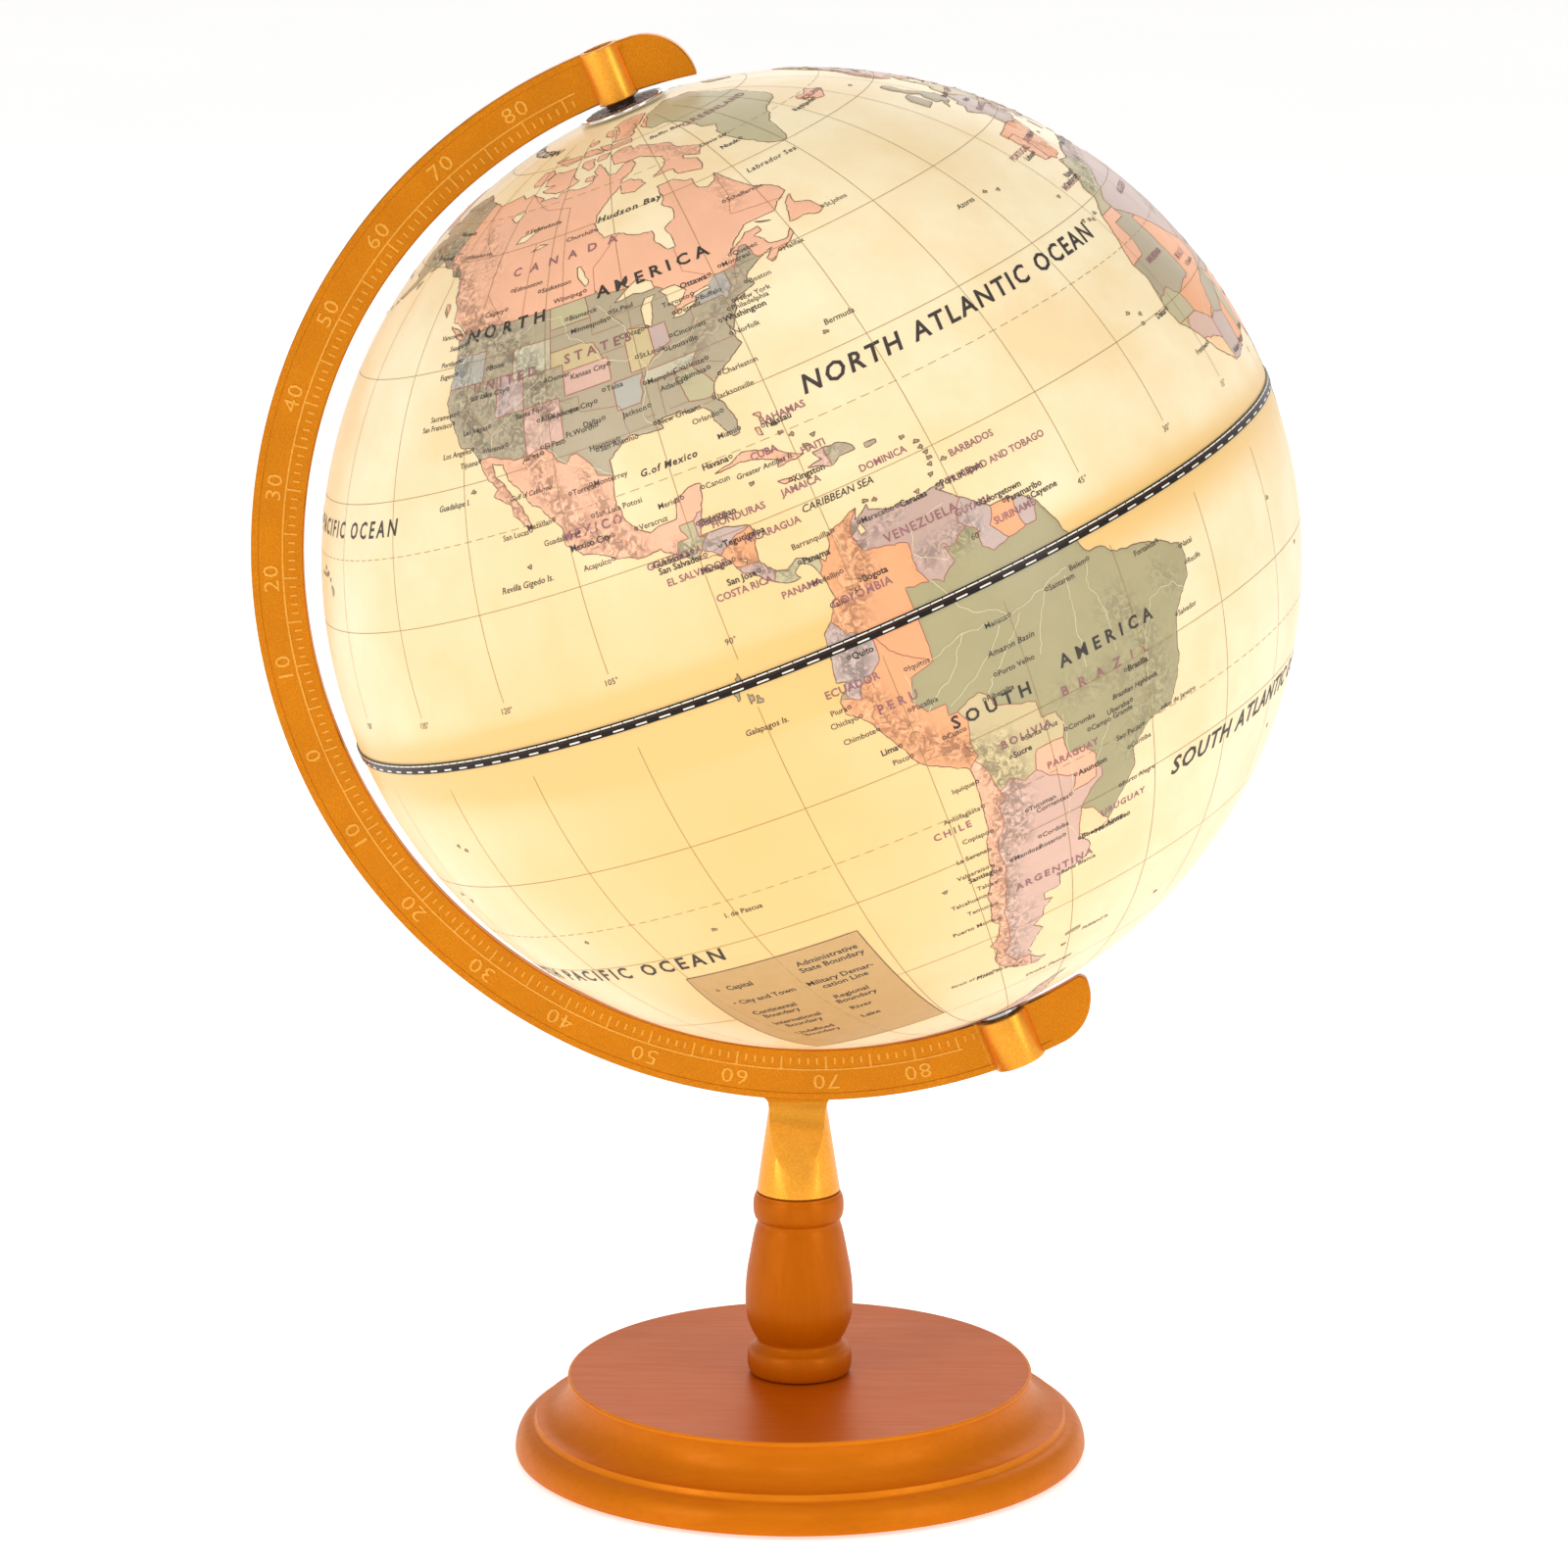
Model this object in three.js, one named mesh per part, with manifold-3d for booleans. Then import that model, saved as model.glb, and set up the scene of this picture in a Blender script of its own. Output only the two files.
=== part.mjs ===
// An illuminated desktop globe, 303 mm across, on a turned wooden stand.
//
// Millimetres, +Z up. The origin is on the column's axis, on the surface that the felt pad stands on.
// The meridian arm lies in the XZ plane. It opens towards +X, and the globe's north pole leans towards -X.
// Pieces on the globe's axis are drawn in a group whose own Z runs from the south pole to the north pole,
// with the globe's centre at its origin. "Along" is the distance from that centre towards the north pole.

import * as THREE from 'three';
import { mergeVertices } from 'three/addons/utils/BufferGeometryUtils.js';
import Module from 'manifold-3d';

const wasm = await Module();
wasm.setup();

// ---------------------------------------------------------------- driving dimensions

const AXIS_TILT = THREE.MathUtils.degToRad(22);
const GLOBE_CENTRE = new THREE.Vector3(5.35, 0, 289.1);
const GLOBE_RADIUS = 151.7;
const SHELL_THICKNESS = 1.5;
const GAP = 0.3;
const HALF_GAP = GAP / 2;

const ARM_CENTRE = { across: -2.2, along: -0.3 };
const ARM_OUTER_RADIUS = 172.65;
const ARM_INNER_RADIUS = 156.25;
const ARM_THICKNESS = 4.2;
const TIP_RADIUS = 16;
const TOP_TIP_ANGLE = 85.8;
const BOTTOM_TIP_ANGLE = -84.35;
const BOTTOM_TIP_FILLET = 2.4;

const NORTH_BOSS = { radius: 6.4, low: 155, high: 172.3 };
const SOUTH_BOSS = { radius: 8.25, low: -173.3, high: -156.8 };

const BASE_BOTTOM = 1;
const BASE_TOP = 25.7;
const BASE_RADIUS = 90.45;
const COLUMN_TOP = 85.3;
const SOCKET_BOTTOM = COLUMN_TOP + GAP;
const SOCKET_BOTTOM_RADIUS = 13.1;
const ROD_RADIUS = 3;
const ROD_HOLE_RADIUS = 3.4;

// Fixings in the stand, from the bottom up: radii and heights.
const FELT_RADIUS = 84;
const BASE_NUT = { acrossFlats: 10, low: 2, high: 6.4 };
const LOCK_WASHER = { inner: 3.4, outer: 5.4, low: 6.7, thickness: 1.3, opening: 0.2 };
const BASE_WASHER = { outer: 11, low: 8.3, high: 9.7 };
const TIE_ROD = { low: 1.6, high: 103.5 };
const THREAD_INSERT = { outer: 5.2, low: 88, high: 104 };

// Fixings on the globe's axis: radii and distances along it.
const AXLE_BORE_RADIUS = 2.7;
const AXLE_TUBE = { outer: 4, low: -171.6, high: -128.5 };
const AXLE_TUBE_FIT_RADIUS = 4.3;
const AXLE_NUT = { acrossFlats: 11, low: -171.3, high: -169.7 };
const AXLE_COLLAR = { outer: 7, low: -155.9, high: -154.3 };
const THRUST_WASHER = { outer: 9, low: -154, high: -153.4 };
const SPACER_WASHER = { outer: 4.6, low: 153.4, high: 154.7 };
const NORTH_HOLE_RADIUS = 6;
const SOUTH_HOLE_RADIUS = 13;
const SEAM_RING = { width: 3, halfHeight: 6 };
const TAPE_HALF_WIDTH = 1.6;
const DIAL_FACE = { inner: 2.9, outer: 12, low: 152.65, high: 152.95 };

// Segments round a full turn.
const FINE = 56;
const MEDIUM = 32;
const COARSE = 20;

// ---------------------------------------------------------------- materials

function finish(color, roughness, metalness = 0) {
  return new THREE.MeshStandardMaterial({ color, roughness, metalness });
}

const stainedWood = finish(0xb5601c, 0.35);
const goldPaint = finish(0xc98212, 0.35, 0.5);
const mapPaper = finish(0xfbeec0, 0.5);
const blackPlastic = finish(0x151515, 0.4);
const tapeVinyl = finish(0x15130f, 0.4);
const chromePlate = finish(0xd8d8da, 0.12, 1);
const dialInk = finish(0x3a2014, 0.5);
const steel = finish(0x9a9ca0, 0.35, 1);
const brass = finish(0xc9a24a, 0.3, 1);
const whitePlastic = finish(0xe8e6df, 0.5);
const bulbGlass = finish(0xfff4dc, 0.3);
const feltCloth = finish(0x1d3a2a, 0.95);
const rubberBlack = finish(0x202020, 0.8);

// ---------------------------------------------------------------- shape helpers

// A profile is a closed list of [radius, height] points that runs anticlockwise, radius to the right.
function turned(profile, segments) {
  const closed = [...profile, profile[0]].map(([radius, height]) => new THREE.Vector2(radius, height));
  const geometry = new THREE.LatheGeometry(closed, segments);
  geometry.rotateX(Math.PI / 2);
  return geometry;
}

function ring(innerRadius, outerRadius, low, high, segments) {
  return turned([[innerRadius, low], [outerRadius, low], [outerRadius, high], [innerRadius, high]], segments);
}

// A plain washer, collar or tube: a hole radius and the rest of its sizes.
function washer(holeRadius, { outer, low, high }) {
  return ring(holeRadius, outer, low, high, COARSE);
}

function disc(radius, low, high, segments) {
  return turned([[0, low], [radius, low], [radius, high], [0, high]], segments);
}

// Points of an elliptical arc about a centre, from one angle to another in degrees.
function arcPoints(centre, radii, from, to, steps) {
  const points = [];
  for (let step = 0; step <= steps; step += 1) {
    const angle = THREE.MathUtils.degToRad(from + ((to - from) * step) / steps);
    points.push([centre[0] + radii[0] * Math.cos(angle), centre[1] + radii[1] * Math.sin(angle)]);
  }
  return points;
}

function nut(holeRadius, { acrossFlats, low, high }) {
  const outline = new THREE.Shape();
  const cornerRadius = acrossFlats / Math.sqrt(3);
  const corners = arcPoints([0, 0], [cornerRadius, cornerRadius], 0, 300, 5);
  outline.setFromPoints(corners.map(([x, y]) => new THREE.Vector2(x, y)));
  outline.holes.push(new THREE.Path().absarc(0, 0, holeRadius, 0, 2 * Math.PI, true));
  return extruded(outline, high - low, low);
}

function extruded(outline, depth, low) {
  const geometry = new THREE.ExtrudeGeometry(outline, { depth, bevelEnabled: false, curveSegments: COARSE });
  geometry.translate(0, 0, low);
  return geometry;
}

function toSolid(geometry) {
  const bare = geometry.clone();
  bare.deleteAttribute('normal');
  bare.deleteAttribute('uv');
  const merged = mergeVertices(bare, 1e-3);
  const corners = merged.index.array;
  const kept = [];
  for (let i = 0; i < corners.length; i += 3) {
    const [a, b, c] = [corners[i], corners[i + 1], corners[i + 2]];
    if (a !== b && b !== c && c !== a) {
      kept.push(a, b, c);
    }
  }
  const vertProperties = new Float32Array(merged.attributes.position.array);
  return new wasm.Manifold(new wasm.Mesh({ numProp: 3, vertProperties, triVerts: new Uint32Array(kept) }));
}

function fromSolid(solid) {
  const { vertProperties, triVerts } = solid.getMesh();
  const geometry = new THREE.BufferGeometry();
  geometry.setAttribute('position', new THREE.Float32BufferAttribute(vertProperties, 3));
  geometry.setIndex([...triVerts]);
  geometry.computeVertexNormals();
  return geometry;
}

function piece(name, geometry, material) {
  const mesh = new THREE.Mesh(geometry, material);
  mesh.name = name;
  return mesh;
}

// ---------------------------------------------------------------- wooden stand

function baseDisc() {
  const recessTop = 10;
  const recessRadius = 13;
  const socketFloor = 20;
  const socketRadius = 9.3;
  const lipRadius = 73.5;
  const coveFoot = [83.7, 12.2];
  const coveTop = [73, 24.1];
  const ovoloTop = [84.6, 10.2];
  const ovoloFoot = 1.8;
  const lipRound = 0.7;
  const coveRadii = [coveFoot[0] - coveTop[0], coveTop[1] - coveFoot[1]];
  const cove = arcPoints([coveFoot[0], coveTop[1]], coveRadii, 270, 180, 5);
  const ovoloRadii = [BASE_RADIUS - ovoloTop[0], ovoloTop[1] - ovoloFoot];
  return turned([
    [recessRadius, BASE_BOTTOM],
    [BASE_RADIUS - 0.5, BASE_BOTTOM],
    ...arcPoints([ovoloTop[0], ovoloFoot], ovoloRadii, 0, 90, 5),
    ...cove,
    [lipRadius, coveTop[1]],
    ...arcPoints([lipRadius - lipRound, BASE_TOP - lipRound], [lipRound, lipRound], 0, 90, 2),
    [socketRadius, BASE_TOP],
    [socketRadius, socketFloor],
    [ROD_HOLE_RADIUS, socketFloor],
    [ROD_HOLE_RADIUS, recessTop],
    [recessRadius, recessTop],
  ], FINE);
}

function column() {
  const foot = BASE_TOP + GAP;
  const spigotRadius = 9;
  const spigotFoot = 20.3;
  const bead = arcPoints([13.3, 80.6], [1, 3.9], -90, 75, 5);
  const footBead = arcPoints([15.2, 30.2], [1.3, 4.2], -90, 60, 4);
  const belly = [[13.5, 37.2], [14.8, 39.4], [16.2, 43], [16.9, 46.5], [17, 50.5], [16.9, 54.2], [16.4, 59.2],
    [15.5, 64.3], [14.55, 69.5], [13.6, 73.4]];
  return turned([
    [ROD_HOLE_RADIUS, spigotFoot],
    [spigotRadius, spigotFoot],
    [spigotRadius, foot],
    ...footBead,
    [14.1, 35.4],
    [13.4, 36.4],
    ...belly,
    [13.1, 75.2],
    ...bead,
    [13.3, COLUMN_TOP],
    [ROD_HOLE_RADIUS, COLUMN_TOP],
  ], MEDIUM);
}

function lockWasher() {
  const { inner, outer, low, thickness, opening } = LOCK_WASHER;
  const outline = new THREE.Shape();
  outline.absarc(0, 0, outer, opening, 2 * Math.PI - opening, false);
  outline.absarc(0, 0, inner, 2 * Math.PI - opening, opening, true);
  return extruded(outline, thickness, low);
}

// ---------------------------------------------------------------- meridian arm

function polar(radius, degrees) {
  const angle = THREE.MathUtils.degToRad(degrees);
  return new THREE.Vector2(radius * Math.cos(angle), radius * Math.sin(angle));
}

function polarAngle(point) {
  return THREE.MathUtils.radToDeg(Math.atan2(point.y, point.x));
}

// The arm's outline: a band round the globe with a large round on the outside corner of each tip.
function armOutline() {
  const tipSteps = 8;
  const bandSteps = 64;
  const tipCentreRadius = ARM_OUTER_RADIUS - TIP_RADIUS;
  const topCentre = polar(tipCentreRadius, TOP_TIP_ANGLE);
  const bottomCentre = polar(tipCentreRadius, BOTTOM_TIP_ANGLE);
  const filletCentreRadius = ARM_INNER_RADIUS + BOTTOM_TIP_FILLET;
  const filletReach = TIP_RADIUS - BOTTOM_TIP_FILLET;
  const along = (filletCentreRadius ** 2 - filletReach ** 2 + tipCentreRadius ** 2) / (2 * tipCentreRadius);
  const across = Math.sqrt(filletCentreRadius ** 2 - along ** 2);
  const filletAngle = BOTTOM_TIP_ANGLE + polarAngle({ x: along, y: across });
  const filletCentre = polar(filletCentreRadius, filletAngle);
  const filletStart = polarAngle(filletCentre.clone().sub(bottomCentre));
  const topEnd = TOP_TIP_ANGLE - polarAngle({ x: tipCentreRadius, y: TIP_RADIUS });

  function arc(centre, radius, from, to, steps) {
    return arcPoints([centre.x, centre.y], [radius, radius], from, to, steps);
  }
  const middle = { x: 0, y: 0 };
  const points = [
    ...arc(middle, ARM_OUTER_RADIUS, TOP_TIP_ANGLE, BOTTOM_TIP_ANGLE + 360, bandSteps),
    ...arc(bottomCentre, TIP_RADIUS, BOTTOM_TIP_ANGLE, filletStart, tipSteps).slice(1),
    ...arc(filletCentre, BOTTOM_TIP_FILLET, filletStart, filletAngle + 180, tipSteps / 2).slice(1),
    ...arc(middle, ARM_INNER_RADIUS, filletAngle + 360, topEnd, bandSteps).slice(1),
    ...arc(topCentre, TIP_RADIUS, TOP_TIP_ANGLE - 90, TOP_TIP_ANGLE, tipSteps).slice(0, -1),
  ];
  return new THREE.Shape(points.map(([x, y]) => new THREE.Vector2(x, y)));
}

// The wedge that cuts one inclined flat on the socket; side is -1 for the front and 1 for the back.
function socketFlat(side) {
  const flatFoot = [14, 88.45];
  const flatTop = [ARM_THICKNESS / 2, 114.6];
  const outside = 25;
  const above = 130;
  const outline = [flatFoot, [outside, flatFoot[1]], [outside, above], [flatTop[0], above], flatTop];
  const shape = new THREE.Shape(outline.map(([y, z]) => new THREE.Vector2(side * y, z)));
  const geometry = new THREE.ExtrudeGeometry(shape, { depth: 2 * outside, bevelEnabled: false });
  geometry.translate(0, 0, -outside);
  geometry.applyMatrix4(new THREE.Matrix4().set(0, 0, 1, 0, 1, 0, 0, 0, 0, 1, 0, 0, 0, 0, 0, 1));
  return geometry;
}

// The tapered cone that stands on the column, with a flat on the front and one on the back.
function socketCone() {
  const top = 117;
  const topRadius = 8.5;
  const cone = turned([
    [0, SOCKET_BOTTOM],
    [SOCKET_BOTTOM_RADIUS, SOCKET_BOTTOM],
    [topRadius, top],
    [0, top],
  ], MEDIUM);
  return toSolid(cone).subtract(toSolid(socketFlat(-1))).subtract(toSolid(socketFlat(1)));
}

// The arm, its two bosses and its socket are one casting, bored for the axle at each end.
function meridianArm() {
  const band = new THREE.ExtrudeGeometry(armOutline(), { depth: ARM_THICKNESS, bevelEnabled: false });
  band.translate(ARM_CENTRE.across, ARM_CENTRE.along, -ARM_THICKNESS / 2);
  band.rotateX(Math.PI / 2);

  const toStand = axisGroup().matrix;
  const onAxis = (geometry) => toSolid(geometry.clone().applyMatrix4(toStand));
  const overrun = 5;
  const northEnds = [NORTH_BOSS.low - overrun, NORTH_BOSS.high + overrun];
  const southEnds = [SOUTH_BOSS.low - overrun, SOUTH_BOSS.high + overrun];
  const northScrewSeat = { radius: 4.7, low: 168.2 };
  const southNutSeat = { radius: 6.8, high: -169.4 };
  const insertPocket = { radius: 5.5, top: 104.4 };

  return fromSolid(
    onAxis(band)
      .add(onAxis(disc(NORTH_BOSS.radius, NORTH_BOSS.low, NORTH_BOSS.high, MEDIUM)))
      .add(onAxis(disc(SOUTH_BOSS.radius, SOUTH_BOSS.low, SOUTH_BOSS.high, MEDIUM)))
      .add(socketCone())
      .subtract(onAxis(disc(AXLE_BORE_RADIUS, ...northEnds, COARSE)))
      .subtract(onAxis(disc(northScrewSeat.radius, northScrewSeat.low, northEnds[1], COARSE)))
      .subtract(onAxis(disc(AXLE_TUBE_FIT_RADIUS, ...southEnds, COARSE)))
      .subtract(onAxis(disc(southNutSeat.radius, southEnds[0], southNutSeat.high, COARSE)))
      .subtract(toSolid(disc(insertPocket.radius, SOCKET_BOTTOM - overrun, insertPocket.top, COARSE))),
  );
}

// ---------------------------------------------------------------- globe

// A hemisphere shell with a hole at its pole; side is 1 for the northern half and -1 for the southern.
function hemisphere(poleHoleRadius) {
  const outerRows = 10;
  const innerRows = 10;
  const inner = GLOBE_RADIUS - SHELL_THICKNESS;
  const angleAt = (radius, offset) => THREE.MathUtils.radToDeg(Math.asin(offset / radius));
  const outerRow = arcPoints([0, 0], [GLOBE_RADIUS, GLOBE_RADIUS], angleAt(GLOBE_RADIUS, HALF_GAP),
    90 - angleAt(GLOBE_RADIUS, poleHoleRadius), outerRows);
  const innerRow = arcPoints([0, 0], [inner, inner], 90 - angleAt(inner, poleHoleRadius),
    angleAt(inner, HALF_GAP), innerRows);
  return turned([...outerRow, ...innerRow], FINE);
}

function southHemisphere(poleHoleRadius) {
  const geometry = hemisphere(poleHoleRadius);
  geometry.rotateX(Math.PI);
  return geometry;
}

// ---------------------------------------------------------------- pieces on the axis

function hourDialRim() {
  const underside = [[2.9, 152], [14.3, 152]];
  const dish = [[14.3, 153.1], [13.7, 153.1], [12.2, 152.35], [2.9, 152.35]];
  return turned([...underside, ...dish], MEDIUM);
}

function northBush() {
  return turned([[2.7, 146.8], [9, 146.8], [9, 148.8], [5.7, 148.8], [5.7, 151.7], [2.7, 151.7]], COARSE);
}

function northAxleScrew() {
  const shank = [[0, 140], [2.4, 140], [2.4, 168.5]];
  const head = [[4.4, 168.5], [4.4, 171], [3.4, 171.8], [0, 171.8]];
  return turned([...shank, ...head], COARSE);
}

function southBush() {
  return turned([[4.4, -153.1], [15, -153.1], [15, -152], [12.6, -152], [12.6, -145], [11, -145],
    [11, -150.5], [4.4, -150.5]], MEDIUM);
}

function lampHolder() {
  const outside = [[4.3, -138], [7, -138], [11.5, -131], [11.5, -104]];
  const inside = [[9, -104], [9, -128], [4.3, -128]];
  return turned([...outside, ...inside], COARSE);
}

function bulbCap() {
  const outside = [[0, -124.5], [2.2, -124.5], [4, -122], [6.9, -120.5], [6.9, -99.5]];
  const inside = [[5.6, -99.5], [5.6, -119.5], [0, -121]];
  return turned([...outside, ...inside], COARSE);
}

function bulbEnvelope() {
  const wall = 0.8;
  const crown = -60;
  const outer = [[7.2, -99], [8.5, -94], [11, -87], [12.3, -79], [11.6, -71], [8.6, -64.5], [4.4, -61]];
  const inner = outer.map(([radius, along]) => [radius - wall, along]);
  return turned([...outer, [0, crown], [0, crown - wall], ...inner.reverse()], COARSE);
}

function cordGrommet() {
  return turned([[2.7, -173.1], [6.3, -173.1], [6.3, -172], [2.7, -172]], COARSE);
}

// ---------------------------------------------------------------- assembly

function axisGroup() {
  const group = new THREE.Group();
  group.position.copy(GLOBE_CENTRE);
  group.rotation.y = -AXIS_TILT;
  group.updateMatrix();
  return group;
}

function stand() {
  const group = new THREE.Group();
  group.add(
    piece('base_disc', baseDisc(), stainedWood),
    piece('base_felt_pad', disc(FELT_RADIUS, 0, BASE_BOTTOM - GAP, FINE), feltCloth),
    piece('base_nut', nut(ROD_RADIUS + GAP, BASE_NUT), steel),
    piece('base_lock_washer', lockWasher(), steel),
    piece('base_washer', washer(ROD_HOLE_RADIUS, BASE_WASHER), steel),
    piece('tie_rod', disc(ROD_RADIUS, TIE_ROD.low, TIE_ROD.high, COARSE), steel),
    piece('column', column(), stainedWood),
    piece('arm_thread_insert', washer(ROD_RADIUS + GAP, THREAD_INSERT), brass),
    piece('meridian_arm', meridianArm(), goldPaint),
  );
  return group;
}

function lamp() {
  const group = axisGroup();
  group.add(
    piece('north_axle_screw', northAxleScrew(), steel),
    piece('north_spacer_washer', washer(AXLE_BORE_RADIUS, SPACER_WASHER), blackPlastic),
    piece('south_axle_tube', washer(AXLE_BORE_RADIUS, AXLE_TUBE), steel),
    piece('south_axle_nut', nut(AXLE_TUBE_FIT_RADIUS, AXLE_NUT), steel),
    piece('south_axle_collar', washer(AXLE_TUBE_FIT_RADIUS, AXLE_COLLAR), steel),
    piece('south_thrust_washer', washer(AXLE_TUBE_FIT_RADIUS, THRUST_WASHER), whitePlastic),
    piece('cord_grommet', cordGrommet(), rubberBlack),
    piece('lamp_holder', lampHolder(), whitePlastic),
    piece('bulb_cap', bulbCap(), brass),
    piece('bulb_envelope', bulbEnvelope(), bulbGlass),
  );
  return group;
}

function globe() {
  const inner = GLOBE_RADIUS - SHELL_THICKNESS;
  const seamOuter = inner - 3 * GAP;
  const tapeInner = GLOBE_RADIUS + GAP;
  const group = axisGroup();
  group.add(
    piece('globe_north', hemisphere(NORTH_HOLE_RADIUS), mapPaper),
    piece('globe_south', southHemisphere(SOUTH_HOLE_RADIUS), mapPaper),
    piece('globe_seam_ring', ring(inner - SEAM_RING.width, seamOuter, -SEAM_RING.halfHeight,
      SEAM_RING.halfHeight, FINE), whitePlastic),
    piece('equator_tape', ring(tapeInner, tapeInner + GAP, -TAPE_HALF_WIDTH, TAPE_HALF_WIDTH, FINE),
      tapeVinyl),
    piece('north_bush', northBush(), blackPlastic),
    piece('south_bush', southBush(), blackPlastic),
  );
  return group;
}

function hourDial() {
  const { inner, outer, low, high } = DIAL_FACE;
  const group = axisGroup();
  group.add(
    piece('hour_dial_rim', hourDialRim(), chromePlate),
    piece('hour_dial_face', ring(inner, outer, low, high, MEDIUM), dialInk),
  );
  return group;
}

const model = new THREE.Group();
model.add(stand(), lamp(), globe(), hourDial());

export default model;
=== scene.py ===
"""A lit desktop globe on a turned wooden stand.

Shapes are written in millimetres, with the base's underside near height 0 and the column on Z, and
become metres when a mesh is made. Pieces on the globe's axis are written in an axis frame: its Z runs
from the south pole to the north pole, its X points to the open side of the arm, and its origin is the
globe's centre. Places on the map are printed longitudes and latitudes in degrees.
"""

import math

import bmesh
import bpy
import numpy as np
from mathutils import Matrix, Vector
from mathutils.geometry import delaunay_2d_cdt


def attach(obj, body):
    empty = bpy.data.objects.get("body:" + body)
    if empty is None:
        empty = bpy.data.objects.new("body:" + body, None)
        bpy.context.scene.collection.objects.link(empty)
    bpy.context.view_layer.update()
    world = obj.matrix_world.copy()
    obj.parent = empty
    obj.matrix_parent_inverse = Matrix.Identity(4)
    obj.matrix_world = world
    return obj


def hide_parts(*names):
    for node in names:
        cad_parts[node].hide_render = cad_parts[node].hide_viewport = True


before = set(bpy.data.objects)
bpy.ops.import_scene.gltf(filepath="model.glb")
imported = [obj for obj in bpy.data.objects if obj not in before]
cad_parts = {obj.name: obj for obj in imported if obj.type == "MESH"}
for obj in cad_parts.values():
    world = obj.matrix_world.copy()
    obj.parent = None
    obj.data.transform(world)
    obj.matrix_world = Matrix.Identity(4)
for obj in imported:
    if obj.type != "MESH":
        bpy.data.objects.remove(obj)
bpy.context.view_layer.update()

MM = 0.001
TILT = math.radians(22)
GLOBE_CENTRE = Vector((5.35, 0, 289.1))
GLOBE_RADIUS = 151.7
AXIS_FRAME = Matrix.Translation(GLOBE_CENTRE) @ Matrix.Rotation(-TILT, 4, "Y")
UPRIGHT = Matrix.Identity(4)
FULL_TURN = 2 * math.pi

CAMERA_PLACE = (0.159632, -2.565233, 0.853615)
CAMERA_YAW, CAMERA_PITCH, CAMERA_ROLL = (math.radians(x) for x in (3.643, 13.904, -0.389))
CAMERA_LENS = 194.92
SENSOR_WIDTH = 36

# ---------------------------------------------------------------- camera


def make_camera():
    """Places the camera at the viewing angle: a long lens, a little above the object."""
    data = bpy.data.cameras.new("camera")
    data.sensor_width = SENSOR_WIDTH
    data.lens = CAMERA_LENS
    data.clip_end = 100
    camera = bpy.data.objects.new("camera", data)
    bpy.context.scene.collection.objects.link(camera)
    turn = Matrix.Rotation(CAMERA_YAW, 4, "Z") @ Matrix.Rotation(math.pi / 2 - CAMERA_PITCH, 4, "X")
    roll = Matrix.Rotation(CAMERA_ROLL, 4, "Z")
    camera.matrix_world = Matrix.Translation(CAMERA_PLACE) @ turn @ roll
    bpy.context.scene.camera = camera


make_camera()

# ---------------------------------------------------------------- mesh helpers

CAP_SHARE = 0.72  # how tall a capital is, as a share of the font's size


class Shape:
    """Gathers meshes in millimetres, and makes one object of them."""

    def __init__(self):
        self.points = []
        self.faces = []

    def add(self, points, faces, matrix=UPRIGHT):
        start = len(self.points)
        self.points += [matrix @ Vector(p) for p in points]
        self.faces += [[i + start for i in face] for face in faces]
        return self

    def add_mesh(self, mesh, matrix=UPRIGHT):
        return self.add([v.co for v in mesh.vertices], [list(p.vertices) for p in mesh.polygons], matrix)

    def turned(self, profile, segments, matrix=UPRIGHT):
        """Turns a closed profile of (radius, height) points round Z."""
        count = len(profile)
        points = [
            (r * math.cos(2 * math.pi * s / segments), r * math.sin(2 * math.pi * s / segments), z)
            for s in range(segments)
            for r, z in profile
        ]
        faces = []
        for s in range(segments):
            here, there = s * count, (s + 1) % segments * count
            for i in range(count):
                j = (i + 1) % count
                faces.append([here + i, there + i, there + j, here + j])
        return self.add(points, faces, matrix)

    def prism(self, outline, low, high, matrix=UPRIGHT, bevel=0.0):
        """Extrudes a closed outline of (x, y) points, with small bevels on its two edges."""
        inset = offset_outline(outline, bevel)
        rings = [(inset, low), (outline, low + bevel), (outline, high - bevel), (inset, high)]
        if not bevel:
            rings = [(outline, low), (outline, high)]
        count = len(outline)
        points = [(x, y, z) for ring, z in rings for x, y in ring]
        faces = [list(range(count))[::-1], [i + count * (len(rings) - 1) for i in range(count)]]
        for level in range(len(rings) - 1):
            for i in range(count):
                j = (i + 1) % count
                a, b = level * count, (level + 1) * count
                faces.append([a + i, a + j, b + j, b + i])
        return self.add(points, faces, matrix)

    def build(self, name, material, merge=True, smooth_angle=35):
        mesh = bpy.data.meshes.new(name)
        mesh.from_pydata([p * MM for p in self.points], [], self.faces)
        if merge:
            work = bmesh.new()
            work.from_mesh(mesh)
            bmesh.ops.remove_doubles(work, verts=work.verts, dist=1e-6)
            bmesh.ops.dissolve_degenerate(work, edges=work.edges, dist=1e-7)
            bmesh.ops.recalc_face_normals(work, faces=work.faces)
            work.to_mesh(mesh)
            work.free()
        mesh.shade_smooth()
        mesh.set_sharp_from_angle(angle=math.radians(smooth_angle))
        if material:
            mesh.materials.append(material)
        made = bpy.data.objects.new(name, mesh)
        bpy.context.scene.collection.objects.link(made)
        return made


def offset_outline(outline, inset):
    """The outline, which runs anticlockwise, moved inwards."""
    moved = []
    for i, here in enumerate(outline):
        before, after = Vector(outline[i - 1]), Vector(outline[(i + 1) % len(outline)])
        along = (after - before).normalized()
        moved.append((here[0] - along.y * inset, here[1] + along.x * inset))
    return moved


def arc(centre, radii, start, end, steps):
    """Points of an elliptical arc between two angles in degrees."""
    angles = [math.radians(start + (end - start) * i / steps) for i in range(steps + 1)]
    return [(centre[0] + radii[0] * math.cos(a), centre[1] + radii[1] * math.sin(a)) for a in angles]


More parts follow.
